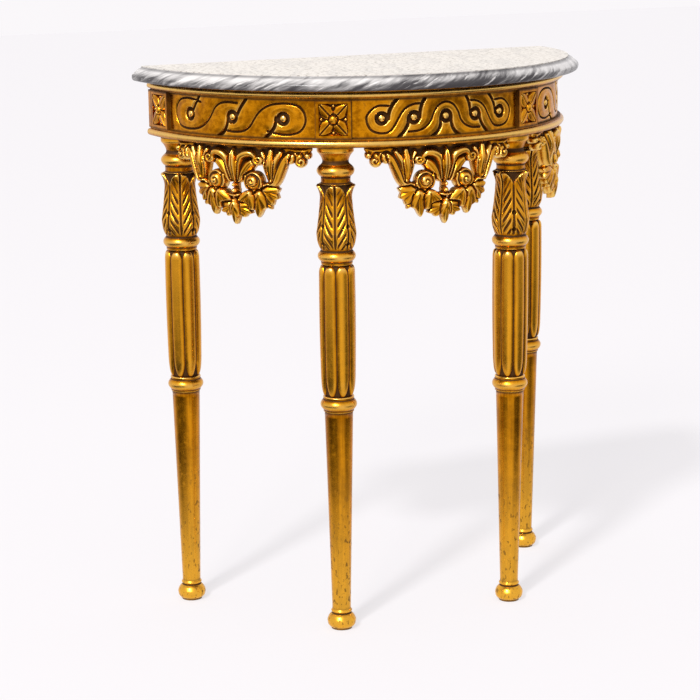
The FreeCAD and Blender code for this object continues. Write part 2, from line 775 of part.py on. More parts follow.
def carve_leaf_seams(body, cup_foot):
    """Seams between the four leaves: narrow on the cup, wide open between the tips."""
    top = leg_height
    stations = [
        (cup_foot + cup_gap, cup_foot_radius, leaf_seam_depth, leaf_seam_angle),
        (top - belly_drop, belly_radius, leaf_seam_depth, leaf_seam_angle),
        (top - throat_drop, throat_radius, leaf_seam_depth, leaf_seam_angle),
        (top - waist_drop - fit_gap, lip_radius, leaf_gap_depth, leaf_gap_angle),
    ]
    sections = []
    for index, (level, radius, depth, half_angle) in enumerate(stations):
        bottom = radius - depth
        outside = radius + lip_radius - waist_radius
        section = valley_sketch(body, f"leaf_seam_section_{index + 1}", 180 / leaf_count, level,
                                bottom, outside, half_angle, leaf_seam_depth * 0.15)
        sections.append(section)
    loft = body.newObject("PartDesign::SubtractiveLoft", "leaf_seam")
    loft.Profile = sections[0]
    loft.Sections = sections[1:]
    loft.Ruled = True
    repeat_round(body, loft, sections[0], leaf_count)


# Aprons: pierced curved ground with volutes, fruits, arms and a fan of leaves
def build_apron():
    """The first apron; the other two are twins of it."""
    body = new_body("apron_ground")
    outline = new_sketch(body, "apron_outline", "XZ_Plane")
    half = apron_outline()
    draw(outline, half + mirrored_half(half))
    for steps in apron_holes():
        draw(outline, steps)
    pad(body, outline, apron_front_radius + 10)
    shell = new_body("apron_shell")
    band = new_sketch(shell, "apron_band", "XZ_Plane")
    draw(band, [
        (apron_back_radius, leg_height - apron_drop * 2),
        (apron_front_radius, leg_height - apron_drop * 2),
        (apron_front_radius, leg_height),
        (apron_back_radius, leg_height),
    ])
    revolve(shell, band, 180)
    ground = doc.addObject("Part::MultiCommon", "apron_curved")
    ground.Shapes = [body, shell]
    carved = fuse("apron_carved", [ground] + apron_relief())
    bores = [screw(f"pilot_{index}", as_size(turn), fit_gap) for index, turn in pilot_turns()]
    apron = cut("apron_pattern", carved, fuse("pilots", bores))
    finished.append(apron)
    return apron


def place_apron(apron, bay, angle):
    apron.Label = f"apron_{bay}"
    put(apron, y=half_depth, turn=angle)


def pilot_turns():
    half_angle = arc_angle(screw_offset, apron_back_radius)
    return ((1, -half_angle), (2, half_angle))


def apron_outline():
    """Right half of the apron outline, from the middle of the top edge round to the pointed tip."""
    top = leg_height
    wide = apron_half_width
    deep = apron_drop
    end_round = end_volute_radius
    notches = ((0.60, 0.43), (0.56, 0.62), (0.42, 0.76), (0.24, 0.84), (0.08, 0.87))
    tips = ((0.67, 0.51), (0.53, 0.70), (0.34, 0.88), (0.15, 0.91))
    lobe = deep * 0.02
    steps = [
        (0, top),
        (wide - end_round, top),
        (wide - end_round, top - end_round * 2, end_round * 0.98),
        (wide * 0.76, top - deep * 0.2, -lobe),
        (wide * notches[0][0], top - deep * notches[0][1], -lobe * 2),
    ]
    for tip, notch in zip(tips, notches[1:]):
        steps.append((wide * tip[0], top - deep * tip[1], lobe))
        steps.append((wide * notch[0], top - deep * notch[1], lobe))
    steps.append((0, top - deep, lobe))
    return steps


def mirrored_half(half):
    """The left half of an outline, drawn back from the tip to the top edge."""
    steps = []
    for index in range(len(half) - 2, 0, -1):
        after = half[index + 1]
        steps.append((-as_size(half[index][0]), half[index][1]) + after[2:])
    return steps


def apron_holes():
    """The two upper and two lower pierced holes."""
    top = leg_height
    wide = apron_half_width
    deep = apron_drop
    swell = deep * 0.02
    upper = ((0.33, 0.25), (0.53, 0.24), (0.45, 0.40))
    lower = ((0.06, 0.48), (0.14, 0.56), (0.07, 0.66))
    holes = []
    for corners in (upper, lower):
        for hand in (1, -1):
            steps = [(wide * (hand * x), top - deep * y, swell) for x, y in corners]
            holes.append(steps if hand == 1 else steps[::-1])
    return holes


def on_apron(solid, along, drop, lift=0, roll=0):
    """Stand a solid on the apron face: its own Z axis points out, roll turns it in the face."""
    angle = arc_angle(as_size(along), apron_front_radius).value
    radius = apron_front_radius.value + as_size(lift).value
    level = leg_height.value - as_size(drop).value
    swing = Placement(Vector(0, 0, 0), Rotation(Vector(0, 0, 1), angle))
    stand = Placement(Vector(0, -radius, level), Rotation(Vector(1, 0, 0), 90))
    twist = Placement(Vector(0, 0, 0), Rotation(Vector(0, 0, 1), roll))
    solid.Placement = swing * stand * twist
    return solid


def shape(kind, name, **sizes):
    """A parametric solid that is still to be placed."""
    solid = doc.addObject(f"Part::{kind}", name)
    bind(solid, **sizes)
    return solid


def apron_relief():
    """Raised carving of one apron as a list of solids."""
    solids = []
    wide = apron_half_width
    deep = apron_drop

    def leaf(name, along, drop, length, width, roll):
        body = shape("Ellipsoid", name, Radius1=relief * 0.8, Radius2=width / 2, Radius3=length / 2)
        solids.append(on_apron(body, along, drop, 0, roll))

    def volute(name, along, drop, radius):
        body = shape("Cylinder", name, Radius=radius, Height=relief + 2)
        solids.append(on_apron(body, along, drop, -2))
        eye = shape("Sphere", f"{name}_eye", Radius=radius * 0.45)
        solids.append(on_apron(eye, along, drop, relief))

    leaf("middle_leaf", 0, deep * 0.22, deep * 0.42, wide * 0.13, 0)
    leaf("tip_leaf", 0, deep * 0.83, deep * 0.32, wide * 0.12, 0)
    for level, radius in ((0.50, 0.045), (0.59, 0.036), (0.66, 0.027)):
        bead = shape("Sphere", "bead", Radius=wide * radius)
        solids.append(on_apron(bead, 0, deep * level))
    for side, hand in (("left", -1), ("right", 1)):
        volute(f"upper_volute_{side}", volute_offset * hand, volute_drop, volute_radius)
        volute(f"end_volute_{side}", (wide - end_volute_radius) * hand, end_volute_radius, end_volute_radius)
        fruit = shape("Sphere", f"fruit_{side}", Radius=fruit_radius)
        solids.append(on_apron(fruit, fruit_offset * hand, fruit_drop, -2))
        collar = shape("Torus", f"fruit_collar_{side}", Radius1=fruit_radius, Radius2=fruit_radius / 5)
        solids.append(on_apron(collar, fruit_offset * hand, fruit_drop, 0))
        leaf(f"arm_{side}", wide * 0.68 * hand, deep * 0.29, deep * 0.5, wide * 0.11, -28 * hand)
        leaf(f"stem_{side}", wide * 0.17 * hand, deep * 0.24, deep * 0.44, wide * 0.1, -40 * hand)
        leaf(f"fan_1_{side}", wide * 0.15 * hand, deep * 0.76, deep * 0.26, wide * 0.11, 8 * hand)
        leaf(f"fan_2_{side}", wide * 0.30 * hand, deep * 0.73, deep * 0.28, wide * 0.12, 22 * hand)
        leaf(f"fan_3_{side}", wide * 0.47 * hand, deep * 0.60, deep * 0.26, wide * 0.12, 32 * hand)
        leaf(f"fan_4_{side}", wide * 0.57 * hand, deep * 0.46, deep * 0.22, wide * 0.11, 62 * hand)
    return solids


# Back rail: straight board on the wall side with a stub tenon in each rear block
def build_back_rail():
    half_length = rail_half_length()
    board = primitive("Box", "rail_board", {
        "Length": half_length * 2,
        "Width": rail_thickness,
        "Height": marble_under - leg_height,
    }, x=-half_length, y=-rail_thickness, z=leg_height)
    tenons = [tenon_solid(f"tenon_{side}", side == "right", as_size(0)) for side in ("left", "right")]
    return finish(fuse("rail", [board] + tenons), "back_rail")


def rail_half_length():
    """The rail ends just inside the round inner faces of mouldings and blocks."""
    return frame_inner_radius - rail_thickness * rail_thickness / (frame_inner_radius * 2) - fit_gap


def tenon_solid(name, right, gap):
    """Stub tenon of the back rail, or its mortise when a gap is given."""
    rooted = tenon_length + 1
    start = rail_half_length() - 1
    length = rooted + gap
    return primitive("Box", name, {
        "Length": length,
        "Width": tenon_thickness + gap * 2,
        "Height": tenon_height + gap * 2,
    },
        x=start if right else -start - length,
        y=-rail_thickness / 2 - tenon_thickness / 2 - gap,
        z=panel_middle - tenon_height / 2 - gap)


# Centre bearer: cross rail lapped under the top moulding, carries the middle of the marble
def build_centre_bearer():
    ring_reach = chord_reach(frame_inner_radius)
    panel_reach = chord_reach(panel_radius - panel_thickness)
    underside = marble_under - bearer_height
    bar = primitive("Box", "bearer_bar", {
        "Length": bearer_width,
        "Width": ring_reach - rail_thickness,
        "Height": bearer_height,
    }, x=-bearer_width / 2, y=-ring_reach, z=underside)
    tongue = primitive("Box", "bearer_tongue", {
        "Length": bearer_width,
        "Width": panel_reach - rail_thickness,
        "Height": bearer_height - top_moulding_height,
    }, x=-bearer_width / 2, y=-panel_reach, z=underside)
    return finish(fuse("bearer", [bar, tongue]), "centre_bearer")


def chord_reach(radius):
    """How far a bar of the bearer's width reaches towards a round inner face."""
    return radius - bearer_width * bearer_width / (radius * 8) - fit_gap


# Glue blocks: triangular blocks in the corners between panels and leg blocks
def build_glue_block(name, angle, hand):
    body = new_body(f"glue_{name}")
    corner = new_sketch(body, f"glue_corner_{name}", "XY_Plane", panel_under)
    face = panel_radius - panel_thickness
    side = glue_block_side
    draw(corner, [
        (0, -face),
        (side * hand, side * side / (face * 2) - face + fit_gap),
        (0, side - face),
    ])
    pad(body, corner, panel_height)
    return finish(body, f"glue_block_{name}", angle)


def build_glue_blocks():
    ends = {
        "left_rear": (-rear_leg_angle + block_half_angle, 1),
        "left_middle": (-front_leg_angle - block_half_angle, -1),
        "left_front": (-front_leg_angle + block_half_angle, 1),
        "right_front": (front_leg_angle - block_half_angle, -1),
        "right_middle": (front_leg_angle + block_half_angle, 1),
        "right_rear": (rear_leg_angle - block_half_angle, -1),
    }
    for name, (angle, hand) in ends.items():
        build_glue_block(name, angle, hand)


build_marble_top()
build_top_moulding()
build_lower_moulding()
first_apron = build_apron()
aprons = [first_apron] + [twin(first_apron) for _ in range(len(bay_angles) - 1)]
for apron, (bay_name, bay_angle) in zip(aprons, bay_angles.items()):
    build_panel(bay_name, bay_angle)
    place_apron(apron, bay_name, bay_angle)
first_leg = build_leg()
first_rosette = build_rosette()
legs = [first_leg] + [twin(first_leg) for _ in range(len(leg_angles) - 1)]
rosettes = [first_rosette] + [twin(first_rosette) for _ in range(len(leg_angles) - 1)]
for leg, rosette, (leg_name, leg_angle) in zip(legs, rosettes, leg_angles.items()):
    build_leg_block(leg_name, leg_angle)
    place_rosette(rosette, leg_name, leg_angle)
    place_leg(leg, leg_name, leg_angle)
build_back_rail()
build_centre_bearer()
build_glue_blocks()
build_apron_screws()
doc.recompute()

# Every object is checked before its file is written
for item in doc.Objects:
    if "Invalid" in item.State or "Error" in item.State:
        raise RuntimeError(f"{item.Label} did not compute: {item.State}")
os.makedirs("parts", exist_ok=True)
for item in finished:
    solid = Part.getShape(item)
    if solid.isNull() or not solid.isValid():
        raise RuntimeError(f"{item.Label} has no valid shape")
    solid.exportStep(f"parts/{item.Label}.step")
    box = solid.optimalBoundingBox()
    print(f"{item.Label:24s} solids {len(solid.Solids)} volume {solid.Volume / 1000:9.2f} cm3 "
          f"x {box.XMin:.1f} {box.XMax:.1f} y {box.YMin:.1f} {box.YMax:.1f} z {box.ZMin:.1f} {box.ZMax:.1f}")
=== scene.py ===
import math
import bmesh
import bpy
import numpy as np
from mathutils import Matrix, Vector


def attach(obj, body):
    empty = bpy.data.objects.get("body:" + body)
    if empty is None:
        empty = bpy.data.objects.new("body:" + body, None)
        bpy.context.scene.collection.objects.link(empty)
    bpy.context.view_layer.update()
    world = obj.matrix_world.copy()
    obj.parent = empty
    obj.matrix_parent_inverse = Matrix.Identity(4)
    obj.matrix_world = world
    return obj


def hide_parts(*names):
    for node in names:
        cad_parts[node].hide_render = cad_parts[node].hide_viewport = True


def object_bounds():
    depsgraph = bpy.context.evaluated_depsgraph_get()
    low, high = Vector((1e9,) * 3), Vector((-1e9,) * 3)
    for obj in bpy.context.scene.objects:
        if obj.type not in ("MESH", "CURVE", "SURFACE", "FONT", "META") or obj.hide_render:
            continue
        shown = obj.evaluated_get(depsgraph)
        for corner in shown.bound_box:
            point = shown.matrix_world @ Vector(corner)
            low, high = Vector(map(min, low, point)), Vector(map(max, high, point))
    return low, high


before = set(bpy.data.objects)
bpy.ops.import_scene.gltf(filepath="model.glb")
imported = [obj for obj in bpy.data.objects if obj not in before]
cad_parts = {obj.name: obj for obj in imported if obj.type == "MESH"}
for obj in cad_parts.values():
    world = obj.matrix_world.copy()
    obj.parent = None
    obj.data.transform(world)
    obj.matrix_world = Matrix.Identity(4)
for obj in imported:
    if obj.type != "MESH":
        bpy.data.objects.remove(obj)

cad_low, cad_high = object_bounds()

# Legs
# Each leg is one turned and carved piece of wood under gesso and worn gold leaf. Its spigot is
# glued into the block above. The profile is turned round the axis, then leaves, seams and reeds
# are carved by formula.
MM = 0.001
back_plane = cad_high[1]
leg_circle = 288 * MM
leg_stations = {"left_rear": -83.6, "left_front": -28.6, "right_front": 28.6, "right_rear": 83.6}
leg_twist = {"left_rear": -26.4, "left_front": 0.0, "right_front": 0.0, "right_rear": 0.0}


class Wire:
    """A node socket that can stand in a formula."""

    def __init__(self, nodes, socket):
        self.nodes = nodes
        self.socket = socket

    def math(self, operation, *others):
        inputs = dict(enumerate((self,) + others))
        return self.nodes.out("ShaderNodeMath", inputs, operation=operation)

    def __add__(self, other):
        return self.math("ADD", other)

    def __sub__(self, other):
        return self.math("SUBTRACT", other)

    def __mul__(self, other):
        return self.math("MULTIPLY", other)

    def __truediv__(self, other):
        return self.math("DIVIDE", other)

    def __neg__(self):
        return self.math("MULTIPLY", -1.0)

    def __radd__(self, other):
        return self + other

    def __rmul__(self, other):
        return self * other

    def __rsub__(self, other):
        return -self + other

    def least(self, other):
        return self.math("MINIMUM", other)

    def most(self, other):
        return self.math("MAXIMUM", other)

    def size(self):
        return self.math("ABSOLUTE")

    def root(self):
        return self.most(0.0).math("SQRT")

    def wave(self, period):
        """Distance from the nearest whole period, 0 to 1, where 1 is halfway between two."""
        return self.math("PINGPONG", period / 2) / (period / 2)

    def rise(self, low, high):
        """0 below low, 1 above high, smooth between them."""
        inputs = {"Value": self, "From Min": low, "From Max": high}
        return self.nodes.out("ShaderNodeMapRange", inputs, interpolation_type="SMOOTHSTEP")

    def bump(self, centre, half_width):
        """1 at the centre, 0 from half a width away."""
        return 1.0 - (self - centre).size().rise(0.0, half_width)

    def parts(self):
        node = self.nodes.add("ShaderNodeSeparateXYZ", {0: self})
        return [Wire(self.nodes, socket) for socket in node.outputs]


class Nodes:
    """A node tree that is written as formulas and single calls."""

    def __init__(self, tree):
        self.tree = tree

    def add(self, kind, inputs=None, **settings):
        node = self.tree.nodes.new(kind)
        for name, value in settings.items():
            setattr(node, name, value)
        self.feed(node, inputs or {})
        return node

    def feed(self, node, inputs):
        """Give inputs of a node their wires or values."""
        for key, value in inputs.items():
            if isinstance(value, Wire):
                self.tree.links.new(value.socket, node.inputs[key])
            else:
                node.inputs[key].default_value = value

    def out(self, kind, inputs=None, output=0, **settings):
        return Wire(self, self.add(kind, inputs, **settings).outputs[output])

    def point(self, x, y, z):
        return self.out("ShaderNodeCombineXYZ", {"X": x, "Y": y, "Z": z})

    def cloud(self, place, scale, detail, rough=0.5):
        """Noise between 0 and 1."""
        inputs = {"Vector": place, "Scale": scale, "Detail": detail, "Roughness": rough}
        return self.out("ShaderNodeTexNoise", inputs)

    def blend(self, share, first, second):
        """The first colour where share is 0, the second where it is 1."""
        inputs = {0: share, 6: first, 7: second}
        return self.out("ShaderNodeMix", inputs, output=2, data_type="RGBA")


def new_material(name):
    """Material, its node tree and its surface node."""
    material = bpy.data.materials.new(name)
    material.use_nodes = True
    return material, Nodes(material.node_tree), material.node_tree.nodes["Principled BSDF"]


def new_object(name, data):
    """Object that is already in the scene."""
    thing = bpy.data.objects.new(name, data)
    bpy.context.scene.collection.objects.link(thing)
    return thing


def new_tree(name, inputs):
    """Geometry tree with named inputs, each given with the type of its socket, and a place to stand."""
    inputs = {**inputs, "Station": "NodeSocketVector", "Turn": "NodeSocketVector"}
    tree = bpy.data.node_groups.new(name, "GeometryNodeTree")
    tree.interface.new_socket("Geometry", in_out="INPUT", socket_type="NodeSocketGeometry")
    tree.interface.new_socket("Geometry", in_out="OUTPUT", socket_type="NodeSocketGeometry")
    for label, kind in inputs.items():
        tree.interface.new_socket(label, in_out="INPUT", socket_type=kind)
    nodes = Nodes(tree)
    entry = nodes.add("NodeGroupInput")
    return nodes, {socket.name: Wire(nodes, socket) for socket in entry.outputs if socket.name}


def close_tree(nodes, given, shape, material):
    """Last nodes of every tree: move to its place, real geometry, smooth shading, material, output."""
    shape = nodes.out("GeometryNodeTransform", {
        "Geometry": shape, "Translation": given["Station"], "Rotation": given["Turn"]})
    shape = nodes.out("GeometryNodeRealizeInstances", {"Geometry": shape})
    shape = nodes.out("GeometryNodeSetShadeSmooth", {"Geometry": shape})
    shape = nodes.out("GeometryNodeSetMaterial", {"Geometry": shape, "Material": material})
    nodes.add("NodeGroupOutput", {"Geometry": shape})
    return nodes.tree


def grow(name, seed_mesh, tree, **values):
    """Run a geometry tree on a seed mesh and return its result as a plain mesh object."""
    carrier = new_object(name, seed_mesh)
    modifier = carrier.modifiers.new("rule", "NODES")
    modifier.node_group = tree
    sockets = [item for item in tree.interface.items_tree if item.in_out == "INPUT"]
    identifiers = {item.name: item.identifier for item in sockets}
    for label, value in values.items():
        modifier[identifiers[label]] = value
    bpy.context.view_layer.update()
    seen = carrier.evaluated_get(bpy.context.evaluated_depsgraph_get())
    mesh = bpy.data.meshes.new_from_object(seen)
    carrier.modifiers.remove(modifier)
    carrier.data = mesh
    mesh.name = name
    bpy.data.meshes.remove(seed_mesh)
    return carrier


def points_mesh(name, points, edges=()):
    mesh = bpy.data.meshes.new(name)
    mesh.from_pydata([tuple(point) for point in points], list(edges), [])
    return mesh


def mesh_points(mesh):
    """All points of a mesh, in rows of x, y and z."""
    places = np.empty(len(mesh.vertices) * 3)
    mesh.vertices.foreach_get("co", places)
    return places.reshape(-1, 3)


hollow_patterns = {}


def weather_and_painted_light(piece, pattern, sunk=0.0, rounds=(3, 12, 45, 130)):
    """Store how hollow the surface is at each point, in millimetres, for dirt with painted shade in the
    hollows and painted highlights on crests.

    Twins of one pattern have the same points in the same order, so the work is done once.
    Points known to lie deep in the carving are given in sunk."""
    mesh = piece.data
    count = len(mesh.vertices)
    if pattern not in hollow_patterns:
        places = mesh_points(mesh)
        normals = np.empty(count * 3)
        mesh.vertices.foreach_get("normal", normals)
        normals = normals.reshape(-1, 3)
        ends = np.empty(len(mesh.edges) * 2, dtype=np.int64)
        mesh.edges.foreach_get("vertices", ends)
        first, second = ends.reshape(-1, 2).T
        pull = 1 / np.maximum(np.sum((places[first] - places[second]) ** 2, axis=1), (0.1 * MM) ** 2)
        share = np.bincount(first, pull, count) + np.bincount(second, pull, count)
        share = np.maximum(share, 1e-9)
        hollow = np.zeros(count)
        soft = places.copy()
        for turn in range(1, max(rounds) + 1):
            for axis in range(3):
                total = np.bincount(first, soft[second, axis] * pull, count)
                total += np.bincount(second, soft[first, axis] * pull, count)
                soft[:, axis] = 0.4 * soft[:, axis] + 0.6 * total / share
            if turn in rounds:
                hollow += np.einsum("ij,ij->i", soft - places, normals) / MM
        hollow_patterns[pattern] = (hollow + sunk).astype(np.float32)
    layer = mesh.attributes.new("hollow", "FLOAT", "POINT")
    layer.data.foreach_set("value", hollow_patterns[pattern])


# Heights of painted shade lines: a painted contact shadow at the floor, and dark lines, with dirt, in the
# joints of mouldings and panels and under the marble.
shade_and_dirt_levels = ((0.0, 0.0035), (0.6995, 0.003), (0.7125, 0.003), (0.7655, 0.0035), (0.7785, 0.003))
# Heights of the bead tops of the two mouldings, where a pale highlight is painted.
bead_highlight_levels = ((0.7062, 0.0045), (0.7722, 0.004))
# Bearings of the joints between panels and leg blocks, where painted shade darkens the block sides.
shaded_joint_bearings = (24.1, 33.1, 79.1, 88.1)


def gilding():
    """Old gold leaf: two tones of gold, brown dirt with painted shade in the hollows, joints and under the
    mouldings, painted highlights on crests and bead tops, paler gold low down, brown flecks.
    """
    material, nodes, surface = new_material("worn_gilding_with_painted_light")
    place = nodes.out("ShaderNodeTexCoord", output="Object")
    hollow = nodes.out("ShaderNodeAttribute", output="Fac", attribute_name="hollow")
    across, depth, height = place.parts()
    broad = nodes.cloud(place, 14.0, 3.0, 0.6)
    fine = nodes.cloud(place, 120.0, 4.0, 0.6)
    grain = nodes.cloud(place, 520.0, 2.0, 0.6)
    brushed = nodes.point(across, depth, height * 0.04)
    streak = nodes.cloud(brushed, 260.0, 3.0)
    turned = 1.0 - height.rise(0.698, 0.702)
    worked = fine + (streak - fine) * turned * 0.65
    tone = (broad * 0.40 + worked * 0.60).rise(0.38, 0.62)
    colour = nodes.blend(tone, (0.31, 0.102, 0.0008, 1), (0.64, 0.242, 0.004, 1))
    # Painted highlight: convex crests are paler gold.
    crest_highlight = (-hollow).rise(0.35, 1.9)
    colour = nodes.blend(crest_highlight * 0.6, colour, (0.88, 0.425, 0.03, 1))
    # Painted highlight: strong crests and the bead tops turn pale yellow.
    pale_highlight = (-hollow).rise(1.6, 3.6)
    for level, reach in bead_highlight_levels:
        pale_highlight = pale_highlight.most(height.bump(level, reach))
    colour = nodes.blend(pale_highlight * 0.75, colour, (0.93, 0.62, 0.17, 1))
    low = 1.0 - height.rise(0.01, 0.30)
    colour = nodes.blend(low * 0.55, colour, (0.94, 0.52, 0.06, 1))
    frieze = height.rise(0.711, 0.713) * (1.0 - height.rise(0.765, 0.767))
    spotted = nodes.point(across, depth, height * 0.45)
    spots = nodes.cloud(spotted, 240.0, 4.0)
    fleck = spots.rise(0.575, 0.64) * (low.rise(0.0, 0.7) * 0.85 + 0.1)
    patch = (fine - low * 0.05).rise(0.64, 0.72) * 0.6
    # Dirt with painted shade: the more hollow the surface, the darker the gold.
    dirt_and_shade = (hollow + (broad - 0.5) * 0.4).rise(-0.05, 0.95)
    dark = dirt_and_shade.most(fleck * 0.75).most(patch * 0.5)
    # Painted shade lines and painted contact shadow at the listed heights.
    for level, reach in shade_and_dirt_levels:
        dark = dark.most(height.bump(level, reach) * 0.85)
    # Painted shade in the joints between panels and leg blocks.
    bearing = across.math("ARCTAN2", back_plane - depth).size() * (180 / math.pi)
    for joint in shaded_joint_bearings:
        dark = dark.most(bearing.bump(joint, 0.32) * frieze * 0.9)
    colour = nodes.blend(dark * 0.95, colour, (0.030, 0.011, 0.002, 1))
    relief = grain * 0.5 + fine * 0.5
    bump = nodes.out("ShaderNodeBump", {"Height": relief, "Strength": 0.12, "Distance": 0.0006})
    nodes.feed(surface, {
        "Base Color": colour, "Metallic": 1.0 - dark * 0.9, "Specular IOR Level": 0.15,
        "Roughness": 0.20 + fine * 0.14 + dark * 0.3, "Normal": bump})
    return material


gold = gilding()


def profile_rows(steps):
    """Points along a turned profile in millimetres: steps are (radius, height, bulge, spacing)."""
    rows = [np.array(steps[0][:2], dtype=float)]
    for radius, height, bulge, spacing in steps[1:]:
        start = rows[-1]
        end = np.array((radius, height), dtype=float)
        run = end - start
        chord = np.linalg.norm(run)
        out = np.array((run[1], -run[0])) / chord
        count = max(1, round(chord / spacing))
        for share in np.arange(1, count + 1) / count:
            rows.append(start + run * share + out * bulge * 4 * share * (1 - share))
    return rows


leg_profile = [
    (0, 0, 0, 1), (15, 0, 0, 5), (15.4, 2.4, 0, 0.8), (20.3, 9.5, 1.3, 0.8), (19.2, 17, 0.8, 0.8),
    (13.6, 23, 0.7, 0.8), (13.6, 24.5, 0, 0.7), (13.6, 29, 1.5, 0.6), (13.3, 30, 0, 0.6),
    (20.2, 324, 0, 9), (21.7, 324, 0, 1), (21.7, 326.5, 0, 1), (21.7, 341.5, 4.2, 0.9), (22.2, 345.5, 0, 1),
    (24.6, 349.3, 0.6, 0.8), (24.7, 360, 0, 0.9), (25.9, 521, 0.8, 6), (26, 531.2, 0, 0.9),
    (22.2, 535, 0.6, 0.8), (22.2, 539, 0, 1), (22.2, 554, 4.5, 0.9), (22.2, 555.5, 0, 0.7),
    (27.3, 580, 1.5, 0.6), (21.9, 627, -0.5, 0.6), (26.9, 645, -1.5, 0.55), (20.6, 649, 0.8, 0.6),
    (20.6, 657.5, 0, 1), (20.6, 674.5, 5.7, 0.8), (18.3, 680, -0.8, 0.9), (24.3, 691, -0.8, 0.9),
    (25.8, 693.7, 0.4, 0.8), (25.8, 700, 0, 1), (10, 700, 0, 6), (10, 745, 0, 45), (0, 745, 0, 5),
]
reed_foot = 346.0
reed_top = 534.5
cup_foot = 555.5
leaf_shoulder = 627.0
cup_top = 648.5
gouge_pitch = 14.5
seam_arc = math.pi / 4 * 26
hole_levels = (589.5, 565.0)
hole_radius = 3.9


def leg_tree():
    """Turned leg: rows of the profile swept round the axis, then carved by angle and height."""
    nodes, given = new_tree("carved_leg", {
        "Rows": "NodeSocketInt", "Segments": "NodeSocketInt", "Leaf Cut": "NodeSocketFloat",
        "Reed Depth": "NodeSocketFloat"})
    rows = given["Rows"]
    sheet = nodes.out("GeometryNodeMeshGrid", {
        "Size X": 1.0, "Size Y": 1.0, "Vertices X": given["Segments"] + 1, "Vertices Y": rows})
    spot = nodes.out("GeometryNodeInputPosition")
    across, along, _ = spot.parts()
    angle = (across + 0.5) * (2 * math.pi)
    row = ((along + 0.5) * (rows - 1)).math("ROUND")
    sample = nodes.out(
        "GeometryNodeSampleIndex", {"Geometry": given["Geometry"], "Value": spot, "Index": row},
        data_type="FLOAT_VECTOR", domain="POINT")
    radius, _, height = sample.parts()
    degrees = angle * (180 / math.pi)

    # Four leaves round the cup; side is 0 on a midrib and 1 on the seam between two leaves
    side = degrees.wave(90.0)
    cup = height.rise(cup_foot, cup_foot + 5.5) * (1.0 - height.rise(cup_top - 1.5, cup_top))
    above = height.rise(leaf_shoulder - 6.0, leaf_shoulder + 5.0)
    edge = 1.0 - (height - leaf_shoulder).most(0.0) / 20.0
    edge = edge.most(0.0).root() * 0.97 + 0.06
    gap = (side - edge).rise(0.0, 0.12) * height.rise(leaf_shoulder, leaf_shoulder + 4.0)
    seam = side.rise(0.86, 1.0) * (1.0 - above)
    swell = (1.0 - side * side) * 1.3 - 0.7
    rib = (1.0 - side.rise(0.02, 0.11)) * (0.8 + above * 1.4)
    slant = height - side * 30.0
    window = side.rise(0.10, 0.28) * (1.0 - side.rise(0.66, 0.88))
    gouges = 1.0 - (slant - cup_foot - 0.5).wave(gouge_pitch).rise(0.06, 0.66)
    gouges = gouges * (1.0 - height.rise(leaf_shoulder - 21.0, leaf_shoulder + 1.0) * 0.7)
    seam_way = (1.0 - side) * seam_arc
    holes = 0.0
    for level in hole_levels:
        away = (seam_way * seam_way + (height - level) * (height - level)).root()
        holes = (1.0 - away.rise(1.8, hole_radius)) + holes
    carved = swell - seam * 1.8 - rib * 1.8 - gouges * window * 2.3 - holes * 3.6
    carved = carved * given["Leaf Cut"] * cup
    leaf_radius = radius + carved
    leaf_radius = leaf_radius - (leaf_radius - 19.4).most(0.0) * gap * cup

    # Eight reeds with rounded ends; half is 0 on a crest and 1 in the valley between two reeds
    half = (degrees + 22.5).wave(45.0)
    reach = ((height - reed_foot) / 26.0).least((reed_top - height) / 13.0)
    end = (1.0 - reach).most(0.0)
    dome = (1.0 - half * half * 0.97 - end * end).most(0.0).math("POWER", 0.5)
    shaft = height.rise(reed_foot - 0.6, reed_foot + 0.1)
    shaft = shaft * (1.0 - height.rise(reed_top - 0.1, reed_top + 0.6))
    reeds = (dome - 1.0) * (given["Reed Depth"] + end * 2.4) * shaft

    final = (leaf_radius + reeds) * MM
    place = nodes.point(final * angle.math("SINE"), final * angle.math("COSINE") * -1.0, height * MM)
    shape = nodes.out("GeometryNodeSetPosition", {"Geometry": sheet, "Position": place})
    shape = nodes.out("GeometryNodeMergeByDistance", {"Geometry": shape, "Distance": 0.00001})
    return close_tree(nodes, given, shape, gold)


def carved_depth(mesh, swing, turn):
    """How far each point of a leg lies inside its turned profile, as dirt with painted shade in the reed
    valleys, leaf cuts and holes.
    """
    x, y, z = mesh_points(mesh).T
    x = x - leg_circle * math.sin(swing)
    y = y - back_plane + leg_circle * math.cos(swing)
    out = np.hypot(x, y) / MM
    heights = [row[1] for row in rows]
    radii = [row[0] for row in rows]
    depth = np.interp(z / MM, heights, radii) - out
    reeded = (z > reed_foot * MM) & (z < (reed_top + 1.5) * MM)
    leafed = (z > (cup_foot - 0.5) * MM) & (z < (cup_top - 0.5) * MM)
    valleys = np.where(reeded, np.clip((depth - 1.2) / 1.1, 0, 1.6), 0)
    dirt_and_shade = np.where(leafed, np.clip((depth - 0.4) / 1.0, 0, 2.2), valleys)
    from_seam = np.abs(np.degrees(np.arctan2(x, -y) - turn) % 90 - 45) / 45 * seam_arc
    # Painted shade: the drilled holes are made fully dark.
    for level in hole_levels:
        dirt_and_shade = np.where(np.hypot(from_seam, z / MM - level) < hole_radius, 3.0, dirt_and_shade)
    return dirt_and_shade


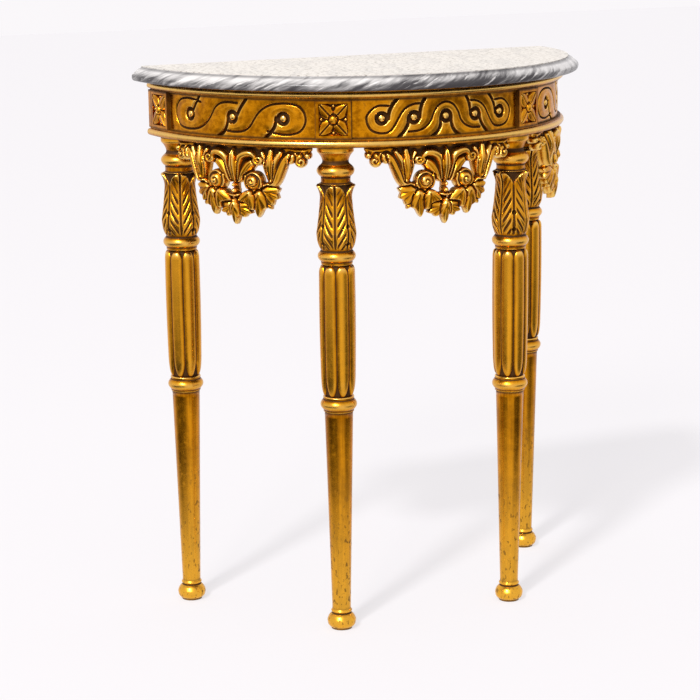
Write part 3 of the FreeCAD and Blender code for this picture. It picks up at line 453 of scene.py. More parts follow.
carve_leg = leg_tree()
rows = profile_rows(leg_profile)
for name, station in leg_stations.items():
    swing = math.radians(station)
    seed = points_mesh("leg_rows", [(row[0], 0, row[1]) for row in rows])
    turn = swing + math.radians(leg_twist[name])
    leg = grow(
        f"carved_leg_{name}", seed, carve_leg, **{
            "Rows": len(rows), "Segments": 232, "Leaf Cut": 1.0, "Reed Depth": 3.0,
            "Station": (leg_circle * math.sin(swing), back_plane - leg_circle * math.cos(swing), 0.0),
            "Turn": (0.0, 0.0, turn),
        })
    weather_and_painted_light(leg, "leg", carved_depth(leg.data, swing, turn))
    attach(leg, "frame")
    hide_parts(f"leg_{name}")

# Aprons
# Three pierced hangings of carved and gilded wood, one in each bay between the legs, screwed up
# into the lower moulding. Leaves, scrolls and fruits overlap on a curved ground; the carver's
# relief is built from strokes that widen and narrow, and the open spaces are what no stroke covers.
apron_back = 298.0
apron_ground = 303.0
apron_chart = 312.0
apron_top = 700.0
unshaded_clean_lift = 6.5
bay_stations = {"left": -56.1, "centre": 0.0, "right": 56.1}
apron_shift = {"left": 0.0, "centre": 4.0, "right": 0.0}


def smooth_line(points, spacing):
    """Even samples along a smooth curve through points; extra columns are carried along."""
    knots = np.array(points, dtype=float)
    knots = np.vstack((2 * knots[0] - knots[1], knots, 2 * knots[-1] - knots[-2]))
    samples = []
    for a, b, c, d in zip(knots, knots[1:], knots[2:], knots[3:]):
        count = max(2, math.ceil(np.linalg.norm((c - b)[:2]) / spacing))
        t = (np.arange(count) / count)[:, None]
        samples.append(0.5 * (2 * b + (c - a) * t + (2 * a - 5 * b + 4 * c - d) * t ** 2
                              + (3 * b - a - 3 * c + d) * t ** 3))
    samples.append(knots[-2:-1])
    return np.vstack(samples)


def coil(x, z, inner, outer, start, turns, thin, thick, low, high):
    """Stroke points of a volute that unwinds from its eye; angles in degrees, turns may be negative."""
    shares = np.linspace(0, 1, max(4, round(abs(turns) * 10)))
    return [(
        x + (inner + (outer - inner) * share) * math.cos(math.radians(start + 360 * turns * share)),
        z + (inner + (outer - inner) * share) * math.sin(math.radians(start + 360 * turns * share)),
        thin + (thick - thin) * share,
        low + (high - low) * share,
    ) for share in shares]


class Relief:
    """Carved relief on a chart: lift over the ground, and the distance inside the outline."""

    def __init__(self, width, low, high, pitch):
        self.pitch = pitch
        self.columns = np.arange(0, width + pitch, pitch)
        self.rows = np.arange(low, high + pitch / 2, pitch)
        self.x, self.z = np.meshgrid(self.columns, self.rows)
        self.lift = np.zeros_like(self.x)
        self.inside = np.full_like(self.x, -9.0)

    def nearest(self, line):
        """For each chart point: best clearance to a stroke, the distance, and the place along it."""
        reach = line[:, 2].max() + 3.0
        near = (self.x > line[:, 0].min() - reach) & (self.x < line[:, 0].max() + reach)
        near &= (self.z > line[:, 1].min() - reach) & (self.z < line[:, 1].max() + reach)
        far = np.hypot(self.x[near][:, None] - line[:, 0], self.z[near][:, None] - line[:, 1])
        best = np.argmax(line[:, 2] - far, axis=1)
        pick = np.arange(len(best))
        return near, far[pick, best], best

    def stroke(self, points, crease=0.0, flat=False, moat=1.3):
        """Rounded band or leaf along a line of (x, z, half width, crown) points, undercut all round."""
        line = smooth_line(points, 0.9)
        line[:, 2] = np.maximum(line[:, 2], 0.4)
        near, far, best = self.nearest(line)
        width = line[best, 2]
        ratio = np.clip(far / width, 0, 1)
        section = 1 - ratio ** 3 * 0.7 if flat else np.sqrt(1 - ratio ** 2 * 0.96)
        crown = line[best, 3] * section - crease * np.exp(-(far / 0.9) ** 2)
        clear = width - far
        below = self.lift[near]
        trench = np.minimum(below, line[best, 3] * 0.35)
        beside = np.where(clear > -moat, trench, below)
        self.lift[near] = np.where(clear > 0, np.maximum(below, crown), beside)
        self.inside[near] = np.maximum(self.inside[near], clear)

    def dome(self, x, z, radius, crown):
        away = np.hypot(self.x - x, self.z - z)
        height = crown * np.sqrt(np.clip(1 - (away / radius) ** 2 * 0.97, 0, 1))
        self.lift = np.maximum(self.lift, np.where(away < radius, height, 0))
        self.inside = np.maximum(self.inside, radius - away)

    def vine_leaf(self, x, z, turn, length, crown, side=0.64):
        """Broad leaf with three points, from its root, pointing at an angle in degrees."""
        far = np.hypot(self.x - x, self.z - z)
        bearing = np.degrees(np.arctan2(self.z - z, self.x - x))
        off = np.abs((bearing - turn + 180) % 360 - 180)
        reach = (1.0, 0.42 + 0.4 * side, side, side * 0.55, 0.2)
        edge = length * np.interp(off, (0, 16, 34, 62, 115), reach)
        arc = np.radians(off) * far
        fold = 1.2 * np.exp(-(arc / 0.8) ** 2) + 0.9 * np.exp(-((off - 17) / 7) ** 2)
        body = crown * (1 - 0.4 * (far / edge) ** 2) - fold
        beside = np.where(far < edge + 1.6, np.minimum(self.lift, crown * 0.3), self.lift)
        self.lift = np.where(far < edge, body, beside)
        self.inside = np.maximum(self.inside, (edge - far) * 0.7)

    def soften(self, rounds):
        """Round the edges, as coats of gesso do."""
        for _ in range(rounds):
            padded = np.pad(self.lift, 1, mode="edge")
            ring = padded[:-2, 1:-1] + padded[2:, 1:-1] + padded[1:-1, :-2] + padded[1:-1, 2:]
            self.lift = 0.4 * self.lift + 0.15 * ring

    def groove(self, points, width, depth):
        line = smooth_line([point[:2] + (width,) for point in points], 0.7)
        near, far, _ = self.nearest(line)
        cut = depth * np.clip(1 - (far / width) ** 2, 0, 1)
        self.lift[near] = np.maximum(self.lift[near] - cut, 0.3)


def carve_apron():
    """Strokes of one half of an apron in millimetres: distance from the middle, height over the floor."""
    relief = Relief(120, 586, apron_top, 0.62)

    # Ground that ties everything together and closes the spaces the carver left solid
    grounds = (
        [(0, 693, 10, 4.6), (60, 693, 10, 4.6), (96, 694, 8, 4.6), (112, 698, 2, 3)],
        [(64, 640, 4, 1), (50, 632, 8, 1), (36, 622, 10, 1), (20, 616, 9, 1), (0, 610, 9, 1)],
        [(84, 690, 6, 1), (68, 682, 11, 1), (60, 668, 8, 1), (60, 652, 6, 1)],
        [(52, 692, 6, 1), (36, 684, 8, 1), (20, 676, 11, 1), (8, 666, 10, 1), (0, 656, 9, 1)],
        [(0, 652, 4, 2), (0, 636, 4, 2), (0, 620, 5, 2)],
    )
    for ground in grounds:
        relief.stroke(ground, flat=True, moat=0)

    # End cluster: curled buds under the moulding
    relief.stroke([(78, 694, 4, 5), (94, 693, 6, 6), (106, 692, 7, 7), (115, 696, 3, 5)], 1.2)
    relief.stroke(coil(103, 680, 1.2, 7.0, 215, -1.3, 2.6, 5.0, 13, 9))
    relief.dome(112, 688, 5.6, 10)
    relief.dome(94, 689, 5.2, 9)
    relief.stroke(coil(86, 683, 1.2, 5.8, -30, 1.3, 2.0, 4.2, 12, 9))

    # Outer acanthus: a broad stem that curls in under the fruit, and three flutes that fan up from it
    relief.stroke([(68, 668, 5, 8), (75, 667, 3.4, 9), (80.5, 669, 0.8, 7)], flat=True)
    stem = [(85, 689, 3.0, 9), (78, 679, 6.4, 11), (71, 666, 8.2, 12), (65, 654, 8.4, 12)]
    stem += [(57, 645, 7.6, 13), (49, 643, 5.6, 12), (44, 648, 2.0, 9)]
    relief.stroke(stem, flat=True)
    outer_flute = [(60, 653, 3.0, 10), (62, 665, 5.0, 13), (66, 678, 6.2, 15), (74, 692, 4.6, 12)]
    inner_flute = [(55, 653, 2.6, 9), (53, 665, 4.4, 12), (51, 677, 5.4, 14), (47, 691, 4.2, 11)]
    middle_flute = [(58, 652, 3.0, 10), (57.5, 665, 5.0, 14), (58.5, 678, 6.2, 16), (60, 694, 4.8, 12)]
    relief.stroke(outer_flute, moat=0.7)
    relief.stroke(inner_flute, moat=0.7)
    relief.stroke(middle_flute, 1.0, moat=0.7)

    # Inner scroll: volute, broad top run and the fall to the middle
    under_band = [(42, 674, 1.5, 6), (33, 677, 5.0, 9), (24, 673, 8.4, 10), (15, 662, 8.0, 10)]
    under_band += [(8, 651, 4.0, 9)]
    relief.stroke(under_band, flat=True)
    for shift in (-3.5, 0, 3.5):
        vein = [(35 + shift, 679 - shift), (25 + shift, 673 - shift), (12 + shift, 656 - shift)]
        relief.groove(vein, 0.9, 0.7)
    scroll = coil(41, 681, 1.4, 6.6, -60, -1.42, 2.0, 3.8, 13, 13)
    scroll += [(30, 689.5, 5.8, 15), (21, 689, 6.8, 16), (13, 684, 6.6, 15), (8.5, 673, 5.2, 13)]
    scroll += [(6.5, 662, 3.6, 11), (5, 653, 2.0, 8)]
    relief.stroke(scroll, flat=True)
    centre_leaf = [(0, 696, 1.5, 11), (0, 686, 5.5, 15), (0, 673, 7.0, 16), (0, 660, 4.8, 13)]
    centre_leaf += [(0, 648, 2.4, 9)]
    relief.stroke(centre_leaf, 3.4)

    # Fruit in a curled collar, with a turn cut into it, and the drop between the fruits
    relief.stroke(coil(31, 650, 13.4, 12.2, 150, 0.95, 2.8, 2.4, 9, 10))
    relief.dome(31, 650, 12.2, 15)
    turn = coil(31, 650, 1.6, 10.0, 30, 1.2, 1, 1, 0, 0)
    relief.groove([point[:2] for point in turn], 1.2, 2.8)
    relief.dome(0, 644.5, 4.0, 12)
    relief.dome(0, 636, 5.0, 12)
    relief.stroke([(0, 629.5, 2.6, 11), (7, 630.5, 2.2, 10), (11, 632, 1.0, 7)])

    # Garland: broad pointed leaves that overlap along the lower edge
    relief.vine_leaf(45, 633, -60, 25, crown=8, side=0.7)
    relief.vine_leaf(48, 637, -25, 23, crown=10, side=1.0)
    relief.vine_leaf(40, 632, -95, 33, crown=11)
    relief.vine_leaf(25, 633, -114, 28, crown=13, side=0.85)
    relief.vine_leaf(4, 613, -20, 24, crown=9, side=0.75)
    relief.vine_leaf(0, 617, -90, 29, crown=13, side=0.5)
    relief.dome(0, 622, 4.4, 12)
    relief.soften(3)
    return relief


def relief_mesh(name, relief, shift):
    """Closed mesh of a mirrored relief, bent round the half circle: face, back and side walls.

    Returns the mesh and how far each point lies below the carved forms, for dirt with painted shade in the
    deep parts."""
    x = np.hstack((-relief.x[:, :0:-1], relief.x))
    z = np.hstack((relief.z[:, :0:-1], relief.z))
    lift = np.hstack((relief.lift[:, :0:-1], relief.lift))
    inside = np.hstack((relief.inside[:, :0:-1], relief.inside))
    slope_z, slope_x = np.gradient(inside, relief.pitch)
    steep = np.maximum(slope_x ** 2 + slope_z ** 2, 0.3)
    keep = inside > 0
    cells = keep[:-1, :-1] | keep[1:, :-1] | keep[:-1, 1:] | keep[1:, 1:]
    outside = ~keep
    step = np.clip(-inside, 0, relief.pitch * 1.5)
    x = np.where(outside, x + slope_x / steep * step, x)
    z = np.where(outside, np.minimum(z + slope_z / steep * step, apron_top), z)
    number = np.arange(x.size).reshape(x.shape)
    row, column = np.nonzero(cells)
    quads = np.stack((
        number[row, column], number[row, column + 1],
        number[row + 1, column + 1], number[row + 1, column]), axis=1)
    used, compact = np.unique(quads, return_inverse=True)
    quads = compact.reshape(-1, 4)
    count = len(used)
    angle = (x.ravel()[used] + shift) / apron_chart
    height = z.ravel()[used]

    def bent(radius):
        return np.stack((radius * np.sin(angle), -radius * np.cos(angle), height), axis=1)

    places = np.vstack((bent(apron_ground + lift.ravel()[used]), bent(np.full(count, apron_back))))
    edges = np.vstack([np.roll(quads, -turn, axis=1)[:, :2] for turn in range(4)])
    key = edges[:, 0] * count + edges[:, 1]
    twin = edges[:, 1] * count + edges[:, 0]
    rim = edges[~np.isin(key, twin)]
    walls = np.stack((rim[:, 1], rim[:, 0], rim[:, 0] + count, rim[:, 1] + count), axis=1)
    faces = np.vstack((quads, quads[:, ::-1] + count, walls))
    mesh = bpy.data.meshes.new(name)
    mesh.from_pydata((places * MM).tolist(), [], faces.tolist())
    mesh.polygons.foreach_set("use_smooth", np.ones(len(faces), dtype=bool))
    # Dirt with painted shade: the further below the carved forms, the darker.
    sunk = np.clip((unshaded_clean_lift - lift.ravel()[used]) / 3.0, 0, 1.4)
    return mesh, np.concatenate((sunk, np.zeros(count)))


apron_relief = carve_apron()
for bay, station in bay_stations.items():
    mesh, sunk = relief_mesh(f"carved_apron_{bay}", apron_relief, apron_shift[bay])
    spin = Matrix.Translation((0, back_plane, 0)) @ Matrix.Rotation(math.radians(station), 4, "Z")
    mesh.transform(spin)
    mesh.materials.append(gold)
    apron = new_object(f"carved_apron_{bay}", mesh)
    weather_and_painted_light(apron, "apron", sunk)
    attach(apron, "frame")
    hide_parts(f"apron_{bay}")

# Lower moulding
# A half ring of gilded wood with one fat bead, turned in segments and glued up. It ties the leg
# heads to the blocks and holds the apron screws; its shape comes from the solid model.
def dress(node, material):
    """Give a piece of the solid model its finish."""
    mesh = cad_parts[node].data
    mesh.materials.clear()
    mesh.materials.append(material)


dress("lower_moulding", gold)

# Leg blocks
# Four wedge-shaped posts of gilded wood over the legs, a little proud of the panels. Each has a
# sunk field for its rosette and a socket for the spigot below.
for name in leg_stations:
    dress(f"leg_block_{name}", gold)

# Frieze panels
# Curved boards between the leg blocks, glued to both mouldings and gilded. A running scroll is cut
# into each face with a gouge: double ribbons that wind round small raised eyes.
panel_middle = 739.0
panel_height = 54.0
panel_radius = 313.0
panel_thickness = 20.0
panel_half = {"left": 125.6, "centre": 131.6, "right": 125.6}


def mirrored(points, about=0.0):
    return [(2 * about - x, z) for x, z in points]


def turned_over(points):
    """The same line turned half round about the panel centre."""
    return [(-x, 2 * panel_middle - z) for x, z in points]


outer_snail = [
    (-84, 756), (-98, 756.5), (-108, 751), (-115, 741), (-113, 729), (-106, 721.5), (-95, 718.5),
    (-84, 720), (-77, 727), (-71, 737), (-65, 747), (-57, 754), (-48, 757.5), (-40, 758),
]
centre_arch = [
    (-56, 719.5), (-42, 720.5), (-31, 725), (-23.5, 733), (-18.5, 745), (-11, 754.5), (0, 758.5),
]
centre_lines = [outer_snail, mirrored(outer_snail), centre_arch + mirrored(centre_arch)[-2::-1]]
centre_wedges = [
    [(-71, 767), (-79, 757), (-83.5, 747), (-85, 738)],
    [(-31, 767), (-36.5, 757), (-39, 747), (-40, 738)],
    [(-56, 739), (-57, 730), (-62, 721), (-71, 711)],
    [(-8, 738), (-9, 726), (-14, 717), (-22, 711)],
]
centre_wedges += [mirrored(line) for line in centre_wedges]
centre_eyes = [-94, -48, 0, 48, 94]
side_snail = [
    (-56, 757), (-70, 760), (-86, 761), (-100, 758), (-108, 751), (-111.5, 741), (-109, 730),
    (-102, 722), (-91, 718.5), (-76, 718), (-62, 720), (-51, 725), (-42, 732.5), (-35, 742),
    (-29, 751), (-19, 757.5), (-5, 759.5), (9, 758.5),
]
side_lines = [side_snail, turned_over(side_snail)]
side_wedges = [
    [(-72, 746), (-67, 754), (-58, 767)],
    [(-7, 737), (-9.5, 726), (-15, 717), (-25, 711)],
    [(9, 743), (14, 752), (25, 767)],
    [(69, 740), (67, 729), (61, 720), (52, 711)],
]
side_eyes = [-79, 0, 79]


def chart_lines(name, lines):
    """Edges of smooth lines, drawn on the flat chart of a panel."""
    points = []
    edges = []
    for line in lines:
        samples = smooth_line(line, 1.5)
        first = len(points)
        points += [(x, 0, z) for x, z in samples]
        edges += [(index, index + 1) for index in range(first, len(points) - 1)]
    return new_object(name, points_mesh(name, points, edges))


def panel_tree():
    """Board carved along guide lines, then bent round the half circle."""
    nodes, given = new_tree("carved_panel", {
        "Lines": "NodeSocketObject", "Wedges": "NodeSocketObject", "Eyes": "NodeSocketObject",
        "Half Length": "NodeSocketFloat", "Shift": "NodeSocketFloat"})
    pitch = 0.75
    half = given["Half Length"]
    size = nodes.point(half * 2.0, panel_thickness, panel_height)
    board = nodes.out("GeometryNodeMeshCube", {
        "Size": size, "Vertices X": (half * (2.0 / pitch)).math("ROUND"), "Vertices Y": 2,
        "Vertices Z": round(panel_height / pitch)})
    along, depth, height = nodes.out("GeometryNodeInputPosition").parts()
    level = height + panel_middle
    chart = nodes.point(along - given["Shift"], 0.0, level)

    def away(guide, element):
        source = nodes.out("GeometryNodeObjectInfo", {"Object": guide}, output="Geometry")
        inputs = {"Geometry": source, "Sample Position": chart}
        return nodes.out("GeometryNodeProximity", inputs, output="Distance", target_element=element)

    line = away(given["Lines"], "EDGES")
    wedge = away(given["Wedges"], "EDGES")
    eye = away(given["Eyes"], "POINTS")
    cut = (1.0 - line.rise(0.3, 1.9)) * 3.0
    cut = cut.most((1.0 - wedge.rise(0.6, 3.2)) * 4.8)
    ring = eye.rise(4.0, 5.2) * (1.0 - eye.rise(8.2, 10.4)) * 6.0
    cut = cut.most(ring) * eye.rise(4.0, 5.0) + (eye / 5.0) * (eye / 5.0) * (1.0 - eye.rise(4.0, 5.0)) * 1.4
    pillow = line.least(wedge).least((eye - 9.0).size()).rise(0.0, 11.0) * 1.1 - 1.1
    front = 1.0 - depth.rise(-1.0, 1.0)
    radius = (panel_radius - panel_thickness) + front * (pillow - cut + panel_thickness)
    bend = along / panel_radius
    place = nodes.point(
        radius * bend.math("SINE") * MM, radius * bend.math("COSINE") * -MM, level * MM)
    shape = nodes.out("GeometryNodeSetPosition", {"Geometry": board, "Position": place})
    return close_tree(nodes, given, shape, gold)


def cut_depth(mesh):
    """Dirt with painted shade for a panel: how deep each point of its face lies in a cut."""
    x, y, _ = mesh_points(mesh).T
    depth = panel_radius - np.hypot(x, y - back_plane) / MM
    return np.where(depth < panel_thickness / 2, np.clip((depth - 0.95) / 0.6, 0, 2.4), 0)


carve_panel = panel_tree()
for bay, station in bay_stations.items():
    lines, wedges, eyes = (side_lines, side_wedges, side_eyes)
    if bay == "centre":
        lines, wedges, eyes = (centre_lines, centre_wedges, centre_eyes)
    if bay == "right":
        lines = [mirrored(line) for line in side_lines]
        wedges = [mirrored(line) for line in side_wedges]
    line_guide = chart_lines("scroll_lines", lines)
    wedge_guide = chart_lines("scroll_wedges", wedges)
    eye_mesh = points_mesh("scroll_eyes", [(x, 0, panel_middle) for x in eyes])
    eye_guide = new_object("scroll_eyes", eye_mesh)
    panel = grow(
        f"carved_panel_{bay}", points_mesh("panel_seed", [(0, 0, 0)]), carve_panel, **{
            "Lines": line_guide, "Wedges": wedge_guide, "Eyes": eye_guide,
            "Half Length": panel_half[bay], "Shift": apron_shift[bay],
            "Station": (0.0, back_plane, 0.0), "Turn": (0.0, 0.0, math.radians(station)),
        })
    for guide in (line_guide, wedge_guide, eye_guide):
        bpy.data.objects.remove(guide)
    weather_and_painted_light(panel, f"panel_{bay}", cut_depth(panel.data))
    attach(panel, "frame")
    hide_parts(f"frieze_panel_{bay}")

# Rosettes
# Small square carvings let into the face of each leg block: four pointed leaves laid along the
# diagonals, a round boss in the middle and a bud between each pair of leaves.
field_radius = 312.0
rosette_width = 39.6
rosette_height = 43.6


def rosette_tree():
    """Square plate carved by distance and direction from its centre."""
    nodes, given = new_tree("carved_rosette", {"Petal Rise": "NodeSocketFloat"})
    pitch = 0.42
    plate = nodes.out("GeometryNodeMeshCube", {
        "Size": (rosette_width, 2.0, rosette_height), "Vertices Y": 2,
        "Vertices X": round(rosette_width / pitch), "Vertices Z": round(rosette_height / pitch)})
    across, depth, height = nodes.out("GeometryNodeInputPosition").parts()
    stretch = rosette_height / rosette_width
    level = height / stretch
    radius = (across * across + level * level).root()
    lead = across.size().most(level.size())
    trail = across.size().least(level.size())
    along = (lead + trail) * math.sqrt(0.5)
    off = (lead - trail) * math.sqrt(0.5)
    share = along / 27.6
    width = (share * math.pi * 0.92 + 0.14).math("SINE").most(0.0) * 9.4
    clear = width - off
    body = clear.rise(0.0, 1.4)
    round_over = (1.0 - (off / width.most(0.5)) * (off / width.most(0.5)) * 0.8).most(0.0).root()
    notch = ((along * (2 * math.pi / 6.5) + off * 0.5).math("SINE") * 0.5 + 0.5) * clear.rise(3.0, 0.2)
    crease = 1.0 - off.rise(0.2, 1.5)
    petal = body * (round_over * given["Petal Rise"] + 1.0 - notch * 0.8) - body * crease * 2.2
    bud_off = ((lead - 16.8) * (lead - 16.8) + trail * trail).root()
    bud = (1.0 - (bud_off / 2.4) * (bud_off / 2.4)).root() * 3.0
    boss = (1.0 - (radius / 5.6) * (radius / 5.6)).root() * 4.6 + (1.0 - radius.rise(5.5, 5.7)) * 4.0
    moat = radius.rise(5.4, 6.0) * (1.0 - radius.rise(6.8, 8.2)) * 2.0
    lift = (petal - moat * body).most(bud).most(boss)
    front = 1.0 - depth.rise(-0.5, 0.5)
    out = field_radius + front * (lift + 1.6)
    place = nodes.point(across * MM, out * -MM, (height + panel_middle) * MM)
    shape = nodes.out("GeometryNodeSetPosition", {"Geometry": plate, "Position": place})
    return close_tree(nodes, given, shape, gold)


carve_rosette = rosette_tree()
for name, station in leg_stations.items():
    rosette = grow(
        f"carved_rosette_{name}", points_mesh("rosette_seed", [(0, 0, 0)]), carve_rosette, **{
            "Petal Rise": 4.6, "Station": (0.0, back_plane, 0.0), "Turn": (0.0, 0.0, math.radians(station)),
        })
    weather_and_painted_light(rosette, "rosette")
    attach(rosette, "frame")
    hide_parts(f"rosette_{name}")

# Top moulding
# A half ring of gilded wood with a small bead, turned in segments and glued on top of the panels
# and blocks. The marble lies loose on it; its shape comes from the solid model.
dress("top_moulding", gold)

# Hidden frame
# Back rail, centre bearer and glue blocks are plain softwood, sawn and left bare; steel screws
# hold the aprons. All of it is out of sight in the photograph.
def bare_wood():
    """Softwood with its grain along X: rings and fine fibres."""
    material, nodes, surface = new_material("bare_softwood")
    place = nodes.out("ShaderNodeTexCoord", output="Object")
    along, across, height = place.parts()
    stretched = nodes.point(along * 0.06, across, height)
    sway = nodes.cloud(stretched, 14.0, 2.0)
    rings = ((height + across * 0.6 + sway * 0.05) * 520.0).math("SINE") * 0.5 + 0.5
    fibre = nodes.cloud(stretched, 420.0, 3.0)
    tone = rings.rise(0.2, 1.0) * 0.45 + fibre * 0.55
    colour = nodes.blend(tone, (0.42, 0.25, 0.12, 1), (0.21, 0.105, 0.042, 1))
    bump = nodes.out("ShaderNodeBump", {"Height": fibre, "Strength": 0.2, "Distance": 0.0008})
    nodes.feed(surface, {"Base Color": colour, "Roughness": 0.62 + fibre * 0.25, "Normal": bump})
    return material


wood = bare_wood()
for node in ("back_rail", "centre_bearer"):
    dress(node, wood)
for place in ("left_rear", "left_middle", "left_front", "right_front", "right_middle", "right_rear"):
    dress(f"glue_block_{place}", wood)
steel, steel_nodes, steel_surface = new_material("screw_steel")
steel_nodes.feed(steel_surface, {"Base Color": (0.42, 0.41, 0.40, 1), "Metallic": 1.0, "Roughness": 0.38})
dress("apron_screws", steel)

# Marble top
# A loose half-round slab of grey veined marble with a moulded nose. The edge is polished and shows
# slanting dark and white streaks; the face is honed pale, with fine grey specks.
marble_radius = 343 * MM
vein_rough = 0.62


def veined_marble():
    """Grey streaks that lean along the edge, charcoal and white; pale speckled face."""
    material, nodes, surface = new_material("grey_marble")
    place = nodes.out("ShaderNodeTexCoord", output="Object")
    across, depth, height = place.parts()

    bearing = across.math("ARCTAN2", back_plane - depth)
    wall_side = depth.rise(back_plane - 0.0015, back_plane - 0.0005)
    way_round = bearing * marble_radius + (across - bearing * marble_radius) * wall_side
    drift = nodes.cloud(place, 24.0, 3.0, vein_rough) * 0.020
    lean = way_round - height * 2.3 + drift
    run = way_round * 0.14 + height * 0.30
    streak = nodes.cloud(nodes.point(lean, run, 0.0), 46.0, 5.0, vein_rough)
    thread = nodes.cloud(nodes.point(lean, run, 0.5), 84.0, 4.0, vein_rough)
    charcoal = bearing.bump(0.05, 0.65)
    # Painted highlight: the upper slope of the edge is lighter, as lit from above.
    lit_slope = height.rise(0.7855, 0.7945)
    tone = (streak - charcoal * 0.12 + lit_slope * 0.17 - 0.08).rise(0.30, 0.68)
    body = nodes.blend(tone, (0.055, 0.051, 0.054, 1), (0.60, 0.58, 0.57, 1))
    vein = thread.rise(0.57, 0.68)
    body = nodes.blend(vein * 0.6, body, (0.84, 0.81, 0.79, 1))
    # Painted shade lines under the top quirk and along the underside of the nose.
    shaded_rims = height.bump(0.7974, 0.003).most(height.bump(0.7795, 0.004))
    body = nodes.blend(shaded_rims * 0.6, body, (0.050, 0.046, 0.050, 1))
    face = height.rise(0.7986, 0.7992)
    speck = nodes.cloud(place, 170.0, 4.0, vein_rough)
    pale = nodes.blend(speck.rise(0.53, 0.63) * 0.9, (0.672, 0.636, 0.589, 1), (0.31, 0.275, 0.235, 1))
    drawn_out = nodes.point(across * 1.6 + drift, depth * 0.7 - across * 0.5, 0.0)
    cloudy = nodes.cloud(drawn_out, 9.0, 6.0, vein_rough)
    pale = nodes.blend((cloudy - 0.5).size().rise(0.05, 0.0) * 0.22, pale, (0.36, 0.35, 0.35, 1))
    nodes.feed(surface, {
        "Base Color": nodes.blend(face, body, pale), "Specular IOR Level": 0.18,
        "Roughness": 0.20 + face * 0.36 + speck * 0.06})
    return material


marble_profile = [
    (0, 779, 0, 1), (337, 779, 0, 40), (342.2, 781.2, 0.8, 1.2), (343, 786.4, 0.3, 1.2),
    (340.6, 790, 0.5, 1.2), (331.6, 796.6, 0.3, 1.2), (328.6, 798.4, -0.9, 0.8), (328, 798.5, 0, 1),
    (328, 800, 0, 1), (0, 800, 0, 40),
]
marble_turns = 180


def half_turned(name, rows, turns):
    """Half-round solid: a profile swept through half a turn and closed along the wall."""
    shape = bmesh.new()
    rings = []
    for bearing in np.linspace(-math.pi / 2, math.pi / 2, turns + 1):
        ring = []
        for radius, height in rows:
            spot = (radius * math.sin(bearing), -radius * math.cos(bearing), height)
            ring.append(shape.verts.new(spot))
        rings.append(ring)
    for ring, following in zip(rings, rings[1:]):
        for index in range(len(rows) - 1):
            corners = (ring[index], following[index], following[index + 1], ring[index + 1])
            shape.faces.new(corners).smooth = True
    shape.faces.new(rings[0] + rings[-1][::-1])
    bmesh.ops.remove_doubles(shape, verts=shape.verts, dist=0.001)
    bmesh.ops.recalc_face_normals(shape, faces=shape.faces)
    mesh = bpy.data.meshes.new(name)
    shape.to_mesh(mesh)
    shape.free()
    return mesh


marble_mesh = half_turned("moulded_marble", profile_rows(marble_profile), marble_turns)
marble_mesh.transform(Matrix.Translation((0, back_plane, 0)) @ Matrix.Scale(MM, 4))
marble_mesh.materials.append(veined_marble())
marble = new_object("moulded_marble", marble_mesh)
marble.data.set_sharp_from_angle(angle=math.radians(35))
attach(marble, "top")
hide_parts("marble_top")

# Camera, floor and light
# The camera stands where the photograph was taken from; the floor is a plain pale sheet. A window's
# soft sun and a key light come from the front left. Mirrored rays see the same pale sheet, with
# two painted dark bands beside it, a painted reflection of a room that shades the round gold forms.
camera_azimuth = math.radians(-24.573)
camera_height = math.radians(12.502)
camera_roll = math.radians(-0.724)
camera_spot = Vector((-1.3441, -2.9312 + back_plane, 1.0623))
backward = Vector((
    math.sin(camera_azimuth) * math.cos(camera_height),
    -math.cos(camera_azimuth) * math.cos(camera_height),
    math.sin(camera_height),
))
level_right = (-backward).cross(Vector((0, 0, 1))).normalized()
level_up = level_right.cross(-backward)
right = level_right * math.cos(camera_roll) + level_up * math.sin(camera_roll)
up = level_up * math.cos(camera_roll) - level_right * math.sin(camera_roll)
turn = Matrix((right, up, backward)).transposed()
lens = bpy.data.cameras.new("photo_camera")
sensor_width = 36.0
picture_pixels = 700.0
focal_pixels = 2136.1
lens.sensor_width = sensor_width
lens.lens = sensor_width * focal_pixels / picture_pixels
lens.clip_end = 50.0
camera = new_object("photo_camera", lens)
camera.matrix_world = Matrix.Translation(camera_spot) @ turn.to_4x4()
bpy.context.scene.camera = camera

floor_mesh = bpy.data.meshes.new("floor")
reach = 12.0
corners = [(-reach, -reach, 0), (reach, -reach, 0), (reach, reach, 0), (-reach, reach, 0)]
floor_mesh.from_pydata(corners, [], [(0, 1, 2, 3)])
floor = new_object("floor", floor_mesh)
paper, paper_nodes, paper_surface = new_material("pale_floor")
sheet_x, sheet_y, _ = paper_nodes.out("ShaderNodeTexCoord", output="Object").parts()
ahead = sheet_x * math.sin(camera_azimuth) - sheet_y * math.cos(camera_azimuth)
aside = sheet_x * math.cos(camera_azimuth) + sheet_y * math.sin(camera_azimuth)
spread = (ahead * ahead + aside * aside).root() + 0.01
bearing = aside.math("ARCTAN2", ahead) * (180 / math.pi)
far_out = spread.rise(1.8, 2.8)
# Painted reflection: two dark bands on the floor, seen only in mirrored rays, that shade the round gold
# forms.
left_reflection_band = (1.0 - bearing.rise(-25.0, -3.0)) * bearing.rise(-115.0, -75.0) * (1.0 - far_out * 0.9)
right_reflection_band = bearing.rise(28.0, 55.0) * (1.0 - bearing.rise(75.0, 115.0)) * (1.0 - far_out * 0.4)
beyond = spread.rise(0.5, 1.0)
painted_reflection_bands = left_reflection_band.most(right_reflection_band) * beyond
backdrop = (0.96, 0.935, 0.955, 1)
painted_reflection_dark = (0.03, 0.027, 0.024, 1)
shade_share = 0.30


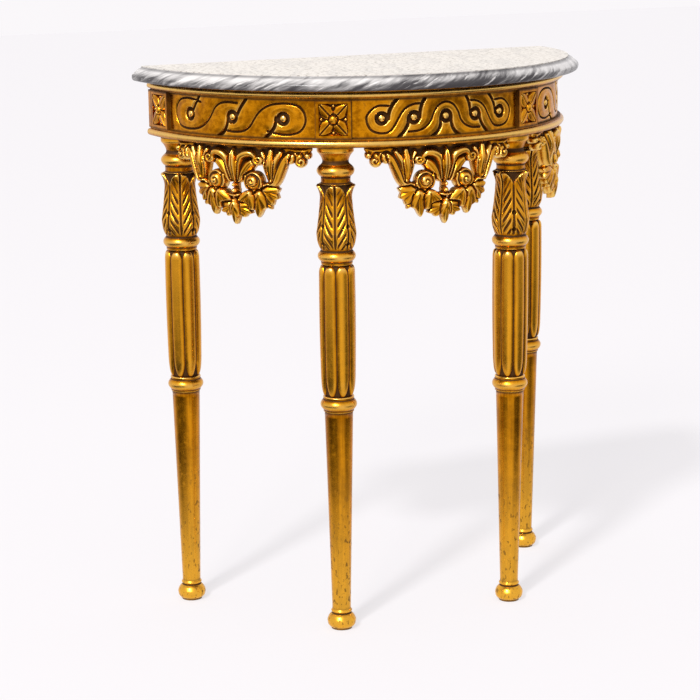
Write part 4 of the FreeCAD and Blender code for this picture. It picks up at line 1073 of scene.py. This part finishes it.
def seen_rays(nodes):
    """1 on rays that show the backdrop: the camera's, mirrored and refracted; then the mirrored alone."""
    path = nodes.add("ShaderNodeLightPath")
    mirrored_ray = Wire(nodes, path.outputs["Is Glossy Ray"])
    refracted_ray = Wire(nodes, path.outputs["Is Transmission Ray"])
    seen = Wire(nodes, path.outputs["Is Camera Ray"]).most(mirrored_ray).most(refracted_ray)
    return seen, mirrored_ray


paper_seen, mirrored_ray = seen_rays(paper_nodes)
mirrored_reflection_bands = painted_reflection_bands * mirrored_ray
paper_nodes.feed(paper_surface, {
    "Base Color": (0.66, 0.645, 0.66, 1), "Roughness": 0.9, "Specular IOR Level": 0.0})
glow_colour = paper_nodes.blend(mirrored_reflection_bands, backdrop, painted_reflection_dark)
glow = paper_nodes.out("ShaderNodeEmission", {"Color": glow_colour, "Strength": 1.0})
lit_colour = paper_nodes.blend(mirrored_reflection_bands, (0.72, 0.70, 0.72, 1), painted_reflection_dark)
lit = paper_nodes.out("ShaderNodeBsdfDiffuse", {"Color": lit_colour})
seen_sheet = paper_nodes.out("ShaderNodeMixShader", {0: shade_share, 1: glow, 2: lit})
plain_sheet = Wire(paper_nodes, paper_surface.outputs[0])
paper_choice = paper_nodes.out("ShaderNodeMixShader", {0: paper_seen, 1: plain_sheet, 2: seen_sheet})
paper_nodes.feed(paper.node_tree.nodes["Material Output"], {"Surface": paper_choice})
floor_mesh.materials.append(paper)

key_spot = Vector((-4.42, -4.42, 4.58))
key_aim = Vector((0.0, 0.0, 0.5))
key_lamp = bpy.data.lights.new("key", "AREA")
key_lamp.size = 1.7
key_lamp.energy = 231.0
key_lamp.color = (1.0, 0.97, 0.92)
key = new_object("key", key_lamp)
key.location = key_spot
key.rotation_euler = (key_aim - key_spot).to_track_quat("-Z", "Y").to_euler()
sun = bpy.data.lights.new("window", "SUN")
sun.energy = 2.2
sun.angle = math.radians(6)
window = new_object("window", sun)
window.rotation_euler = Vector((0.62, 0.50, -0.80)).to_track_quat("-Z", "Y").to_euler()
world = bpy.data.worlds.new("studio")
bpy.context.scene.world = world
world.use_nodes = True
world_nodes = Nodes(world.node_tree)
world_seen, _ = seen_rays(world_nodes)
dim = world.node_tree.nodes["Background"]
way = world_nodes.out("ShaderNodeTexCoord", output="Generated")
facing = (math.sin(camera_azimuth), -math.cos(camera_azimuth), 0.0)
toward = world_nodes.out(
    "ShaderNodeVectorMath", {0: way, 1: facing}, output="Value", operation="DOT_PRODUCT")
way_x, way_y, way_z = way.parts()
rightward = way_x * math.cos(camera_azimuth) + way_y * math.sin(camera_azimuth)
window_strip = rightward.rise(-0.35, 0.0) * (1.0 - rightward.rise(0.45, 0.80)) * toward.rise(0.1, 0.5)
back_wall = 1.0 - toward.rise(-0.40, 0.25)
room = 0.05 + (window_strip * 0.45).most(back_wall * 0.55).most(way_z.rise(0.35, 0.85) * 1.0)
world_nodes.feed(dim, {"Strength": room, "Color": (0.97, 0.96, 0.98, 1)})
bright = world_nodes.out("ShaderNodeBackground", {"Color": backdrop, "Strength": 1.0})
unseen = Wire(world_nodes, dim.outputs[0])
choice = world_nodes.out("ShaderNodeMixShader", {0: world_seen, 1: unseen, 2: bright})
world_nodes.feed(world.node_tree.nodes["World Output"], {"Surface": choice})
bpy.context.scene.view_settings.view_transform = "Standard"
